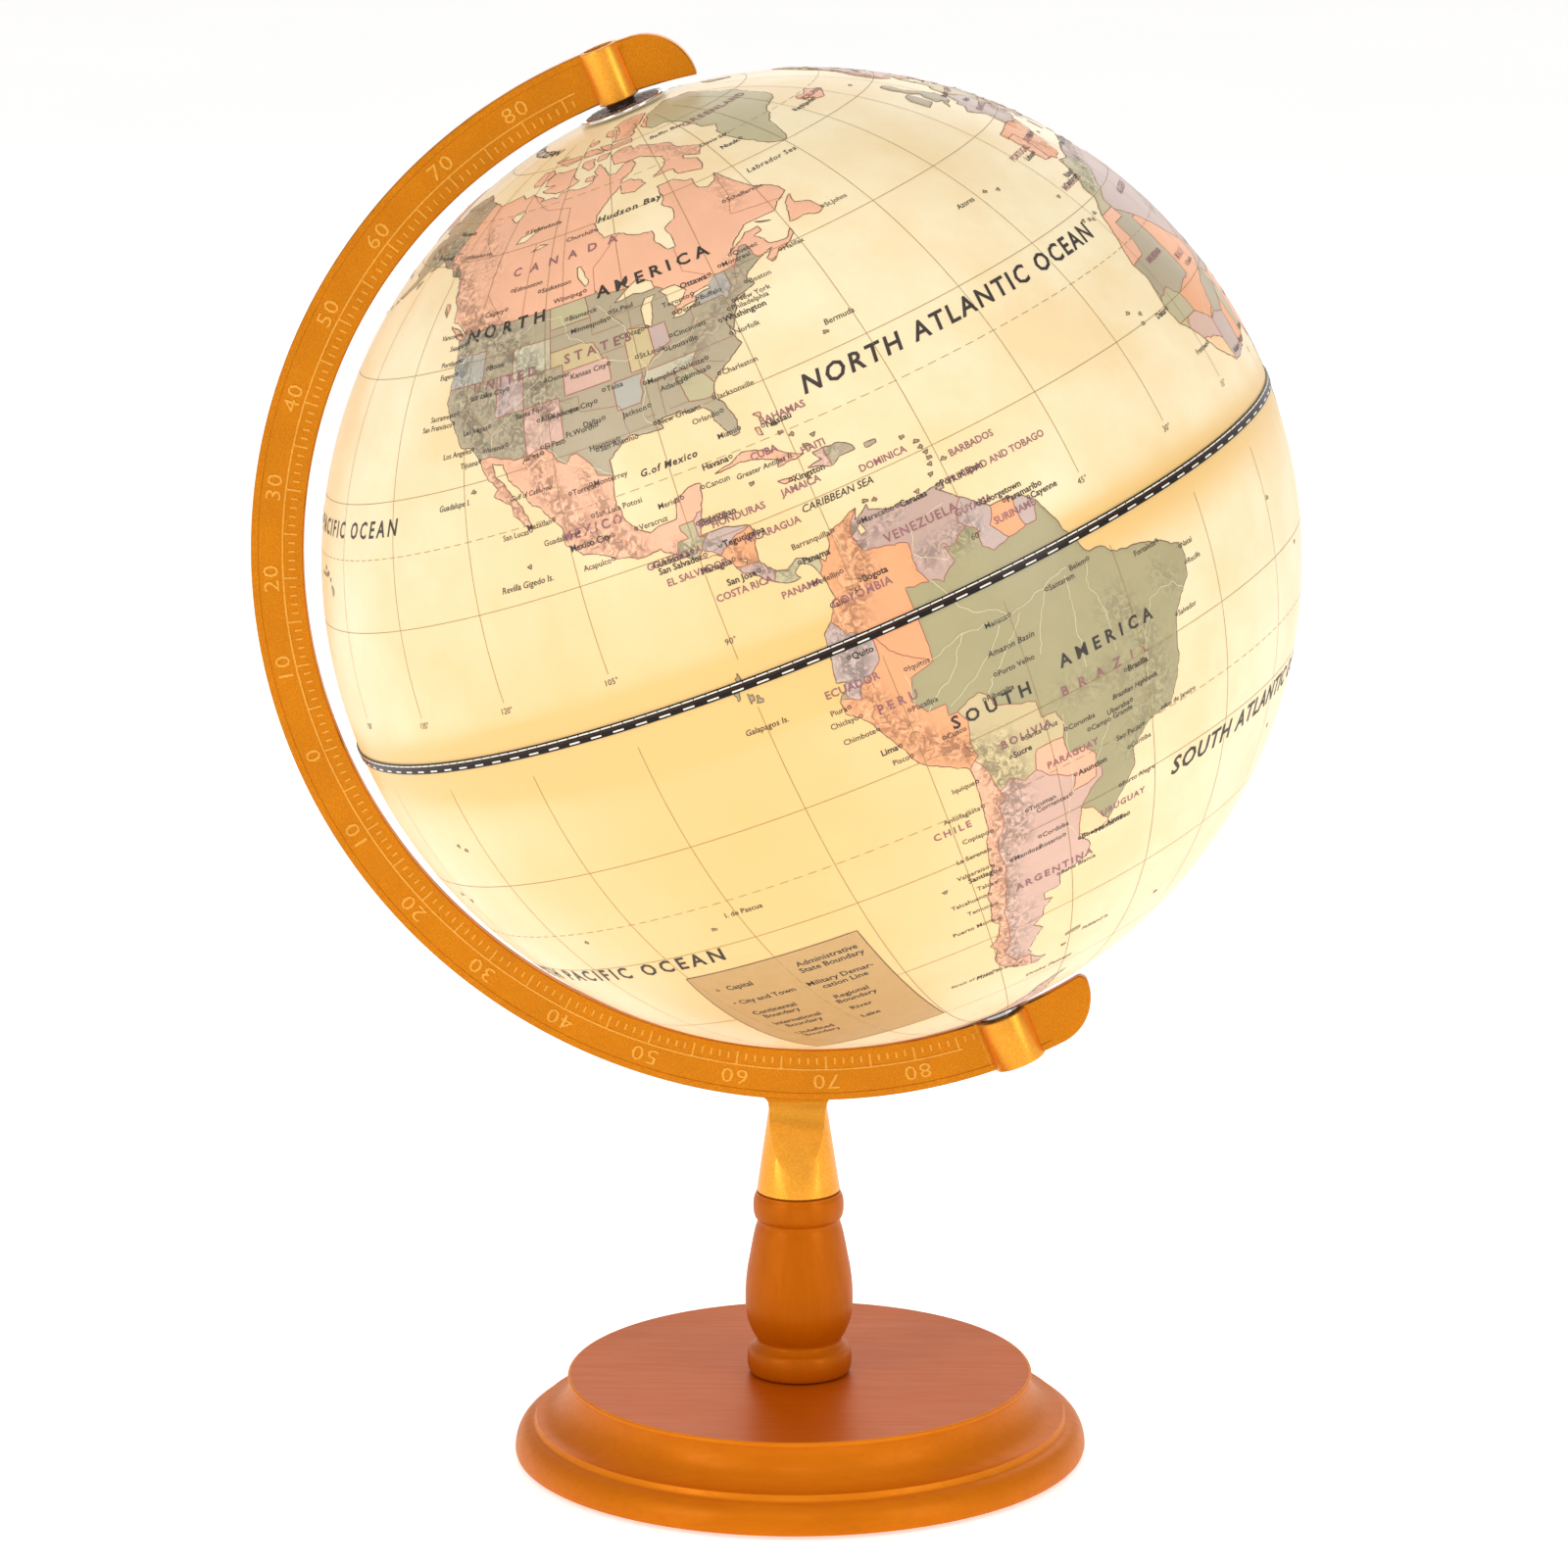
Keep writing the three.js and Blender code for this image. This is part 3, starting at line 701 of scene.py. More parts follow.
GLOBE_PARTS = {}
FRONT_LONGITUDE = -86.0
SEAM_OFFSET = 1.5  # degrees of each half that the tape's place takes from the map
PRINT_SCALE = (90 - SEAM_OFFSET) / 90
LAND_RISE = 0.22
COAST_RISE = 0.06
MOUNTAIN_RISE = 0.7
FLAT_NEAR_TAPE = 3.5  # degrees of latitude
LINE_RISE, LINE_WIDTH = 0.09, 0.2
SHELL_WALL = 1.5
NORTH_HOLE, SOUTH_HOLE = 6, 13
FIRST_LATITUDE = 0.06


def outline(text):
    """Points (longitude, latitude) from a line of text."""
    return [tuple(float(number) for number in pair.split()) for pair in text.split(",")]


def listed(text):
    """Entries of a table, parted by semicolons or line ends; a line that ends in a comma runs on."""
    return text.strip().replace(",\n", ",").replace("\n", ";").split(";")


def entries(text, count):
    """Rows of a table: a name, then that many numbers."""
    for row in listed(text):
        name, *numbers = row.rsplit(" ", count)
        yield name, [float(x) for x in numbers]


def globe_latitude(latitude):
    """Where a printed latitude lies: the two gores meet under the tape, which hides a little of the map."""
    size = abs(latitude)
    shifted = min(size * (SEAM_OFFSET + PRINT_SCALE), SEAM_OFFSET + size * PRINT_SCALE)
    return math.copysign(shifted, latitude)


def on_globe(longitude, latitude, rise=0.0):
    """A point over the globe, in the axis frame, from angles on the globe itself."""
    turn, up = math.radians(longitude - FRONT_LONGITUDE), math.radians(latitude)
    radius = GLOBE_RADIUS + rise
    return (
        radius * math.cos(up) * math.sin(turn),
        -radius * math.cos(up) * math.cos(turn),
        radius * math.sin(up),
    )


AMERICAS = outline("""
-156.5 71.3,-152 70.8,-145 70,-141 69.6,-136 69,-134 69.5,-129 70,-127 70.3,-124 69.4,-121 69.8,-117 68.9,
-114 68.2,-115 67.9,-110 67.9,-108 67.5,-107.5 68.3,-105 68.4,-101 67.8,-98 67.8,-96 68.3,-94.5 69.5,
-96 70.5,-94.5 71.9,-92 70.2,-91.5 69.6,-90.5 68.5,-88 68.3,-85.5 69.6,-82 69.7,-81.3 68.8,-83 67.5,
-86.5 66.5,-87 65.3,-90 64,-93 62,-94.7 60,-94.2 58.8,-92.5 57,-90 57,-88 56.5,-85 55.3,-82.3 55.1,-82.2 53,
-80.5 51.3,-79 51.3,-79 53,-79.7 54.7,-77 56,-76.6 57.3,-78.5 58.8,-77.5 60,-78 62.3,-75 62.3,-73.7 62.4,
-71 61.1,-69.6 61,-69.5 59,-67.7 58.4,-65.5 59,-64.6 60.3,-63 58.5,-61.7 57,-60 55.3,-57.5 54.3,-56 53.3,
-55.7 52.3,-58.5 51.3,-60 50.2,-65 50.2,-66.5 50.1,-69 48.7,-71 47,-69 48,-67 49,-64.5 49.1,-64.3 48.3,
-66 48,-64.8 47,-64.5 46.1,-61.5 45.7,-60 46.8,-60 46,-61.5 45.1,-64 44.5,-65.8 43.5,-66.2 44.3,-64.5 45.4,
-66 45.1,-67 44.8,-69 44,-70.5 43.2,-70.8 42.5,-70 42.05,-70 41.8,-70.6 41.6,-72 41.3,-73.7 40.9,-74 40.5,
-74.1 39.7,-75 38.9,-75.5 39.5,-75.1 38.4,-75.9 37.2,-76.3 38.5,-76.2 37,-75.5 35.3,-76.6 34.7,-77.9 33.9,
-79.2 33.2,-81 32,-81.4 30.7,-80.6 28.5,-80 26.8,-80.3 25.3,-81.1 25.2,-81.8 26.2,-82.7 27.8,-82.7 29,
-84 30,-85.3 29.7,-86.5 30.4,-88 30.3,-89.5 30.2,-89.2 29.1,-91 29.2,-93.8 29.7,-95 29.2,-97.2 27.8,
-97.2 25.9,-97.8 22.5,-97.2 20.6,-96 19,-94.5 18.2,-92.5 18.6,-91 18.7,-90.5 20.8,-88 21.6,-86.9 21.5,
-87.5 19.5,-88.2 18,-88.9 15.9,-86 15.9,-83.2 15,-83.5 12.5,-83.7 11,-82.2 9.1,-81 8.8,-79.7 9.6,-77.3 8.6,
-76.8 8,-75.6 9.6,-75.5 10.6,-74.2 11.2,-72.2 12,-71.3 12.2,-71.9 11,-71.4 11.1,-70 12.1,-70 11.4,
-68.3 10.7,-66 10.5,-64.5 10.2,-62 10.7,-61 9.5,-60 8.5,-58.5 7.3,-57 6,-55 6,-52.9 5.4,-51.6 4.2,-50.7 2,
-50 0.5,-48.5 -0.7,-46 -1.1,-44.4 -2.5,-41.5 -2.9,-38.5 -3.8,-36.5 -5.1,-35.2 -5.5,-34.8 -7.2,-35.2 -9.3,
-37 -11,-38.5 -13,-39 -15,-39.2 -17.7,-40 -20,-41 -22,-42 -23,-44.7 -23.2,-46.4 -24,-48.6 -25.9,-48.5 -28,
-50.2 -30.3,-52.3 -32.5,-53.5 -34,-55 -34.9,-56.3 -34.9,-58.3 -34,-58.4 -34.7,-57.2 -35.5,-56.7 -36.5,
-57.6 -38.1,-62 -39,-62.2 -40.7,-65 -41,-65 -42.2,-63.6 -42.5,-65.3 -43.5,-65.6 -45,-67.5 -46.2,-65.8 -47.5,
-68 -50,-69 -51.2,-68.4 -52.4,-69.5 -52.5,-68.3 -53,-66.5 -54.5,-65.2 -54.7,-67.3 -55.7,-69.5 -55.2,-72 -54,
-74.5 -52.5,-75.3 -50.5,-74.5 -48,-75.5 -46.7,-73.5 -45,-72.8 -43,-73.8 -42,-73.6 -39.8,-73.5 -37.2,
-71.7 -33,-71.5 -30,-70.6 -27,-70.4 -23.5,-70.2 -20,-70.4 -18.4,-72.5 -17,-75.5 -15.2,-76.4 -13.8,-77.2 -12,
-78.6 -9,-79.9 -7,-81.2 -6,-81.3 -4.5,-80.3 -3.4,-79.8 -2.5,-80.9 -2.2,-80.4 -0.5,-80 0.8,-78.8 1.5,
-77.3 3.9,-77.5 5.5,-77.9 7.2,-78.4 8.3,-79.5 8.9,-80.4 8.2,-80 7.4,-81 7.3,-82.9 8.1,-83.7 8.6,-85 10,
-85.8 10.2,-86.5 11.8,-87.6 13,-89.5 13.4,-92 14.4,-94 16.1,-95 16,-97 15.9,-99.5 16.7,-102 18,-103.5 18.3,
-105.5 20,-105.4 21.7,-106.5 23.3,-109.3 25.8,-110.5 27.5,-112.3 29.2,-113 31.2,-114.8 31.7,-114.5 30,
-112.5 28,-111 26,-110 24,-109.5 23,-110.3 23.3,-112.1 25,-112.2 26.2,-114.9 27.8,-114.1 28.5,-115.8 30.3,
-117.1 32.5,-118.4 34,-120.6 34.6,-121.9 36.6,-122.5 37.8,-123.8 39.3,-124.4 40.4,-124.1 43,-124 46.2,
-124.7 48.4,-123.2 49.2,-125 50.2,-127.8 51.2,-128.5 53,-130.3 54.5,-131 55.8,-133.5 58,-136.5 58.3,
-139.7 59.6,-144 60,-147 60.9,-149 60,-151.8 59.2,-151.5 61,-154 59,-156.5 57,-160 55.7,-163.5 54.9,
-162 55.8,-158 58.3,-162 58.7,-162 60,-165.5 61.5,-164.5 63,-161 64,-161.5 64.7,-166 64.5,-168 65.6,
-164 66.4,-162 66.1,-163.7 67.2,-166.5 68.3,-163 69.5,-160 70.5
""")
AMERICAN_ISLANDS = [outline(text) for text in listed("""
-84.9 21.9,-81 23.1,-79 22.5,-77 21.8,-75.5 20.8,-74.2 20.2,-77.6 19.9,-77.2 20.6,-79.5 21.6,-81.8 22.1
-74.4 18.5,-71.5 17.7,-70.5 18.3,-68.4 18.3,-69.9 19.8,-73.2 19.9,-72.5 18.8;-78.3 18.4,-76.3 18.2,
-76.3 17.9,-77.5 17.8;-67.2 18.5,-65.7 18.4,-65.8 18,-67.2 17.9;-78.4 25.1,-77.8 25,-77.7 24,-78.2 24.2
-78 26.7,-77 26.6,-77.2 25.9;-61.8 10.8,-60.9 10.8,-61 10.1,-61.8 10.1;-59.3 47.7,-57.5 50.5,-55.5 51.5,
-56 50,-53.5 49,-52.7 47.5,-54 47,-56 47.6;-73.9 40.6,-72 41.1,-72.2 40.8;-128.2 50.7,-125 49.7,-123.4 48.4,
-125.5 48.8;-133 54.1,-131.7 54,-131.2 52.2,-132.5 53;-64.4 49.9,-61.8 49.1,-63.5 49.4;-66 62,-71.5 63,
-72 64.3,-77.8 64.4,-73.5 66,-72.8 67.8,-76 69,-79 70,-84.5 70,-88.5 70.5,-89.8 73,-86 73.8,-81.3 73.7,
-80.8 72.5,-77.8 72.9,-74 71.7,-68 70.3,-67 68.5,-61.6 66.8,-63.5 65,-67.5 66.3,-68 65.5,-65 64.5,-65 63
-87 65.7,-84 65.9,-80.2 63.8,-83.5 63,-87 63.6;-105 69,-101.5 69.8,-104.5 71,-105 73,-110 73,-115 73.4,
-118 72.3,-117.5 71,-112 70.4,-117 70,-114 69.3,-110 68.6;-125 72,-123.5 71.4,-120.5 71.5,-116.5 73.2,
-118.5 74.2,-124 74.3;-102.5 73.8,-97.5 73.8,-97 71.7,-99 71.4,-102.5 72.8;-95.5 74,-90.3 74,-92 72.8,
-95.7 72.8;-98.5 69.7,-95.5 69.6,-96 68.6,-99 69;-96.5 76.6,-91 76.3,-89.5 75.7,-80 75.7,-80.5 74.6,
-92 74.7;-104.5 76.5,-98 76.4,-94 75.4,-93.8 74.7,-98 75,-104 75.2;-117 76.2,-106 75.9,-106 75,-112 74.5,
-117.5 75.3;-122.5 76.2,-116 77,-119 75.8;-95 80.8,-88 80.3,-88 78.5,-90 78.2,-95 79.3;-105 78.5,-100 78.9,
-98.5 78.3,-103 77.6;-91 81.6,-82 83,-70 83.1,-62 82.3,-68 80.8,-72 79.5,-75.5 78.9,-77.5 77,-80.5 76.2,
-89.5 76.5,-88 78,-85.5 79,-86.5 80.5;-61 -51.8,-57.8 -51.4,-58 -52,-61 -52.2;-156 20.2,-154.8 19.5,
-155.6 18.9,-156 19.7;-164.9 54.6,-163.1 54.7,-164.6 54.1;-154.6 57.4,-152.2 58,-153.8 56.7;-168.4 53.4,
-167 53.9,-168 53.1;-73 78.2,-68 80,-62 81.3,-50 82.5,-32 83.6,-22 82.3,-12.5 81.4,-18 80,-20 77.5,-19 75,
-22 72.5,-22 70.5,-26 68.5,-33 67.7,-38 65.7,-40.5 64.5,-42.8 61,-44.8 60,-48.2 61,-51 63.5,-53.5 66.3,
-53.7 68,-50.8 69.5,-54.8 70.5,-55 72,-57.5 74.5,-62 76.2,-68.5 76.1,-71 77.2;-22.5 66.4,-20.5 65.8,
-16 66.5,-13.6 65,-15 64.3,-18.7 63.4,-22.7 63.9,-21.8 64.5,-24 64.9,-22.3 65.3,-24.3 65.6
""")]
AMERICAN_LAKES = [outline(text) for text in listed("""
-92 46.7,-89.5 48,-87.5 48.8,-85 47.8,-84.8 46.6,-87 46.6,-88.5 47,-90.5 46.7;-87.9 42.3,-86.9 41.7,
-86.3 43,-86 44.8,-85 45.8,-86.8 45.8,-87.9 44.5;-84.3 45.9,-81.5 46,-80 44.7,-81.7 43.2,-82.5 43.1,
-83.4 43.9,-83.4 45.1;-83.4 41.7,-81.5 41.6,-79 42.8,-81 42.7,-83 42.1;-79.7 43.3,-76.4 43.6,-76.5 44.1,
-79 43.9;-97 50.5,-96.3 51,-97.8 53.8,-98.7 53.8,-98.3 52;-124.5 66,-121 65,-119 66.3,-120 67,-123 66.7
-117 61,-114 61,-109.5 62.8,-113 62.3,-116 62;-111 58.8,-106.5 59.3,-109 59.6;-70 -15.4,-69 -16.3,
-69.5 -16.5;-72 9.1,-71.2 9.3,-71.5 10.6,-72.1 10;-85.8 12,-85 11.1,-84.9 11.6
""")]
# Each row is a tint, then an outline. Where two overlap, the first one listed holds the land.
AMERICAN_COUNTRIES = """
sage:-104 46,-104 49,-97.2 49,-96.5 46
pale:-111 41,-104 41,-104 45,-111 45
sand:-104 41,-102 41,-102 40,-95.3 40,-96.5 42.5,-98.5 43,-104 43
mauve:-114 37,-109 37,-109 41,-111 41,-111 42,-114 42
rose:-109 31.3,-103 32,-103 37,-109 37
mist:-124 42,-117 42,-117 46,-119 45.9,-123.5 46.2,-126 46
rose:-102 37,-94.6 37,-94.6 40,-102 40
mist:-94.6 33,-91.2 33,-90 36.5,-94.6 36.5
sand:-91.5 36.9,-89.1 37,-87.5 38,-87.5 41.7,-90.6 42.5,-91.5 40.6
mauve:-87.5 38,-84.8 39,-84.8 41.7,-87.5 41.7
pale:-90.3 35,-83.1 35,-81.7 36.5,-89.5 36.5
mist:-79.8 42,-75.3 42,-74.7 41.3,-73.3 42.7,-73.3 45,-75 45,-76.5 44.1,-79.2 43.5,-79 42.8
sage:-85.6 35,-83.1 35,-81 32.1,-80.5 31.5,-82 30.5,-85 31
olive:-126 48.4,-123.3 48.4,-123.2 49,-95.2 49,-95.1 49.4,-94.6 48.7,-92 48.3,-89.6 48,-88.4 48.3,
-84.8 46.8,-83.5 46,-82.5 45.3,-82.4 43,-83.1 42.1,-82.5 41.7,-79 42.8,-79.2 43.5,-76.5 44.1,-75 45,
-71.5 45,-70.3 46.3,-69.2 47.4,-68 47.3,-67.8 45.7,-67 44.8,-66 44,-68 40,-78 30,-78.5 24,-84 24.5,-90 27,
-96.5 26,-97.2 25.9,-99.2 26.5,-99.5 27.5,-100.5 28.8,-101.5 29.8,-102.4 29.8,-103.2 29,-104.5 29.6,
-104.9 30.6,-106.5 31.8,-108.2 31.8,-108.2 31.3,-111.1 31.3,-114.8 32.5,-117.1 32.5,-121 32,-127 40
olive:-141 72,-141 60.3,-137.5 58.9,-135.5 59.7,-133.5 58.5,-130 56,-130 55,-132 54.4,-150 52,-172 50,
-175 66,-168 73
sage:-92.3 14.4,-91.7 16.1,-90.4 16.1,-91 17.2,-91 17.8,-89.2 17.8,-89.2 15.9,-88.3 15.7,-89.3 14.4,
-90.1 13.7,-91 13
rose:-89.2 17.8,-89.2 15.9,-87.5 16,-87.5 18.5,-88.5 18.5
salmon:-117.3 32.5,-114.8 32.5,-111.1 31.3,-108.2 31.3,-108.2 32.5,-106 33,-100 31,-96 26.5,-95 25,-85.5 22,
-87.5 18.3,-88.5 18.5,-89.2 17.8,-91 17.8,-90.4 16.1,-91.7 16.1,-92.2 14.6,-95 14.5,-106 17.5,-116 27,
-118 31
mauve:-89.3 14.4,-88.3 15.7,-87 16.5,-83 16,-83.1 15,-85 14.6,-86.7 13.6,-87.4 13,-87.9 13.4,-88.5 13.9
peach:-90.1 13.7,-89.3 14.4,-88.5 13.9,-87.9 13.4,-87.8 12.8,-90 13
orange:-87.4 13,-86.7 13.6,-85 14.6,-83.1 15,-82.5 14,-83.5 10.9,-84.9 11,-85.8 11,-88 12.5
brown:-85.8 11,-84.9 11,-83.5 10.9,-82 9.8,-82.9 8.1,-84 8,-86.5 10
sage:-82.6 9.7,-82.9 8.1,-82 6.5,-78 6.8,-77.3 7.7,-77.3 8.8,-79 10
olive:-74 19.9,-71.8 19.9,-71.7 17.5,-68 17.5,-68 20.5,-71.8 20.5
salmon:-86 24,-79 24,-73.5 20.6,-74.5 19.8,-79 19.4,-86 21
rose:-75 20.3,-71.8 20.3,-71.7 17.5,-75 17.8
olive:-68 19,-65 19,-65 17.5,-68 17.5
salmon:-79 19,-76 19,-76 17.5,-79 17.5
salmon:-79 27.2,-76.5 27.2,-76.5 23.5,-79 23.5
mauve:-59.9 8.3,-58 8.5,-57 6.2,-57.3 5,-58 4,-56.5 1.9,-58.8 1.3,-59.8 2.3,-59.6 4.4,-60.7 5.2,-61.3 5.9,
-60.7 7.5
orange:-57 6.5,-54 6.3,-54.4 4.5,-54 2.3,-56.5 1.9,-58 4,-57.3 5
mauve:-54 6.3,-51 5,-51.7 4.2,-52.6 2.2,-54 2.3,-54.4 4.5
orange:-77.3 8.8,-75.5 12.5,-71.3 12.3,-72.5 11,-73 9.3,-72.4 7.4,-70 7,-67.5 6.2,-67.8 3,-67 1.2,-69.8 1.7,
-69.8 -1,-70 -4.2,-72.5 -2.4,-75.2 0,-77.7 0.4,-79 1.6,-80 3,-78.5 7,-77.3 7.7
brown:-71.3 12.3,-62 12,-60 9.5,-59.9 8.3,-60.7 7.5,-61.3 5.9,-60.7 5.2,-62.8 3.8,-64 4.1,-63.4 2.2,
-65.5 0.8,-67 1.2,-68 3,-68 6.3,-72.6 7.4,-73.2 9.3,-72.7 11
mauve:-79 1.6,-77.7 0.4,-75.2 0,-75.4 -1.2,-76.7 -2.6,-78.3 -3.4,-79 -5,-80.3 -4.4,-80.3 -3.4,-82 -2.5,-82 1
orange:-80.3 -4.4,-79 -5,-78.3 -3.4,-76.7 -2.6,-75.4 -1.2,-75.2 0,-72.5 -2.4,-70 -4.2,-73 -5,-74 -7.5,
-72.7 -9.5,-70.5 -9.5,-70.6 -11,-69.5 -11,-68.7 -12.5,-69.3 -15,-69 -17,-69.5 -17.5,-70.4 -18.4,-72 -19,
-83 -8,-83 -4
sand:-69.5 -11,-66.5 -9.9,-65.3 -11,-65.3 -12,-62 -13.5,-60.3 -14,-60.2 -16.2,-58.3 -16.3,-57.6 -18,
-58.2 -19.8,-61.8 -19.7,-62.6 -22.2,-64.4 -22.8,-66.2 -21.8,-67.8 -22.8,-68.4 -19.5,-69.5 -17.5,-69 -17,
-69.3 -15,-68.7 -12.5
salmon:-62.6 -22.2,-61.8 -19.7,-58.2 -19.8,-57.9 -22.1,-55.8 -22.3,-54.3 -24,-54.6 -25.5,-54.8 -27,
-56 -27.3,-58.6 -27.3,-57.6 -25.4,-61 -23.8
peach:-57.6 -30.2,-55.8 -31,-53.4 -34,-52.5 -34.5,-55 -36,-58.4 -34.2,-58 -32
rose:-66.2 -21.8,-64.4 -22.8,-62.6 -22.2,-61 -23.8,-57.6 -25.4,-58.6 -27.3,-56 -27.3,-54.8 -27,-54.6 -25.5,
-53.8 -26,-53.8 -27.2,-55.8 -28.3,-57.6 -30.2,-58 -32,-58.4 -34.2,-55 -36,-62 -43,-63 -52,-63 -55.5,
-68.6 -55,-68.6 -52.6,-71.9 -52,-72.5 -50.7,-73.5 -49,-71.8 -46.5,-71.7 -44,-71.8 -41,-71 -38.5,-70.4 -36,
-69.8 -33.5,-70.2 -31,-69.8 -29,-68.4 -27,-68.5 -24.5,-67.3 -24,-67.8 -22.8
salmon:-70.4 -18.4,-69.5 -17.5,-68.4 -19.5,-66.5 -22,-66 -56.5,-78 -56,-78 -40,-73 -18.4
sage:-74 75,-60 84,-10 84.5,-10 76,-20 69.3,-30 67,-40 59,-50 59,-59 70
salmon:-26 67.5,-12 67.5,-12 62,-26 62
salmon:-142 84,-60 84,-50 47,-70 43,-85 41,-126 48,-133 54,-142 60
fern:-80 13,-30 13,-30 -35,-80 -35
"""

OLD_WORLD = outline("""
25.7 71.1,31 70.3,41 67.5,40 66.3,33 66.7,35 64.3,40 64.6,44 66,44 68.3,48 67.6,54 68.8,60 68.8,66 69.3,
68.5 68.5,67 71,70 73,73 71.5,72.5 68.5,74 67,74 70.5,80 72.5,87 75,98 76.3,104 77.7,112 76.5,107 73.3,
113 73.8,124 73.5,128 72,132 71,140 72.6,150 71.5,160 69.7,170 69.5,180 68.9,190 66.1,187 64.5,181 65.5,
177 64.7,179.5 62.5,170.5 60,163.5 59.8,163.3 57.8,162 56,160 53,156.8 51,155.7 55,158 58,163 61.7,160 61.7,
155 59.3,148 59.4,142.5 59.3,135.3 54.8,137.5 53.8,141 53.2,140.5 50.5,140 48.5,136 44.5,132.5 43,
130.7 42.3,127.5 39.7,129.4 37,129 35.2,126.5 34.4,126.6 37.5,124.8 38,125 39.6,121.5 38.9,122 40.6,
118 39.1,119 37.2,122.5 37,119.5 34.9,121.8 31.8,121.9 29.5,119.5 25.5,116.5 23,113.8 22.3,110.5 21.2,
108 21.6,105.8 19,109 15.2,109.3 12.5,106.8 10.5,104.8 8.7,105 10.3,102.5 12.1,100.9 13.4,100 13.3,99.2 11,
100 9,102.2 6.3,103.4 4.3,104.2 1.4,101.3 2.8,100.3 5.5,98.3 8,98.6 12,97.6 16.3,95.4 15.8,94.3 16,94.2 19,
92.3 20.8,91.8 22.4,89 21.8,87 21.3,85 19.5,82.3 16.7,80.2 15.5,80.3 13,79.8 10.3,78 8.6,77.5 8.1,76.3 9.9,
74.6 13.8,73 17.5,72.7 21.2,70.8 20.8,69 22.3,67 24.7,61.6 25.2,57.3 25.7,56.5 27,51.5 27.9,50 30.2,48 30,
48.5 28,50.2 26.5,51.3 25,54 24.2,56.3 26.2,56.6 24.3,59.8 22.5,57.7 19,55 17,52 15.6,45 12.8,43.3 12.7,
42.7 16,39.2 21,36.9 25.5,35 28,34.9 29.5,34.2 27.8,32.6 29.9,33.6 27.8,35.5 24,37.3 21,37.3 18.8,39.5 15.5,
43.2 12.3,43.3 11.5,44.5 10.5,51.2 11.8,49.5 6.5,46 2.5,42 -1,39.5 -4.5,39.3 -8,40.6 -11,40.6 -15,
36.8 -17.9,34.8 -20,35.5 -24,32.8 -26,32 -29,28 -33,25.7 -34,20 -34.8,18.3 -33.9,17.5 -30,15 -26.5,
14.4 -22.5,11.8 -18,13.7 -12,12.3 -6.1,8.8 -0.8,9.8 3.5,8.7 4.6,6 4.3,4.3 6.3,1 5.8,-2 4.8,-7.5 4.4,-11.5 7,
-13.3 9,-15 11,-16.8 12.4,-17.4 14.7,-16.3 19,-17 21,-15 24.5,-13 27.8,-9.8 29.8,-9.7 31.5,-6.8 34,
-5.9 35.8,-3 35.3,1 36.5,10 37.3,11 36.9,10.2 34.3,11.5 33.2,15.2 32.3,19 30.3,20.1 32.3,22.5 32.9,25 31.6,
29 30.9,32.3 31.3,34.2 31.3,35 33,36 36,36.1 36.8,34 36.3,30.6 36.6,27.3 37,26.3 39,29 41.1,31.5 41.3,35 42,
38.3 41,41.5 41.5,39 44,37 45.2,38 47,35 46.2,36.5 45.3,33.6 44.4,32.5 45.5,30.8 46.5,29.7 45,28 43.3,
28 41.7,26 40.7,23.5 40.4,23.3 39,24 38,22.8 36.5,21.3 37.2,21 38.8,19.4 40.4,19.4 41.8,15.2 44.2,13.6 45.4,
12.3 45.3,12.5 44,16 41.9,18.5 40.2,17 40.5,16.5 38.5,15.7 38,15.5 40,12.3 41.8,10.3 43.5,8.8 44.4,6.5 43.1,
3.1 43,3 41.8,-0.3 39.5,-2 36.8,-5.4 36.1,-6.3 36.8,-8.9 37,-9.4 38.7,-8.8 41.5,-9.2 43.1,-2 43.4,-1.2 46,
-4.6 48,-1.5 48.7,-1.8 49.7,0.2 49.6,1.7 50.9,4 51.8,5 53.2,8.5 53.6,8.1 56,8.5 57.1,10.5 57.7,9.9 54.8,
11 54,14.2 54,18.5 54.7,21 55.3,21.2 57,24.3 57.2,23.5 59.2,28 59.6,29.8 60,25 60.2,22.5 60,21.3 62,25.3 65,
22 65.7,17.3 62,18.8 60,16.5 57.5,14.3 55.5,12.8 55.6,11 59,8 58,5.3 59,5 62,11 64.5,15 68,20 70
""")
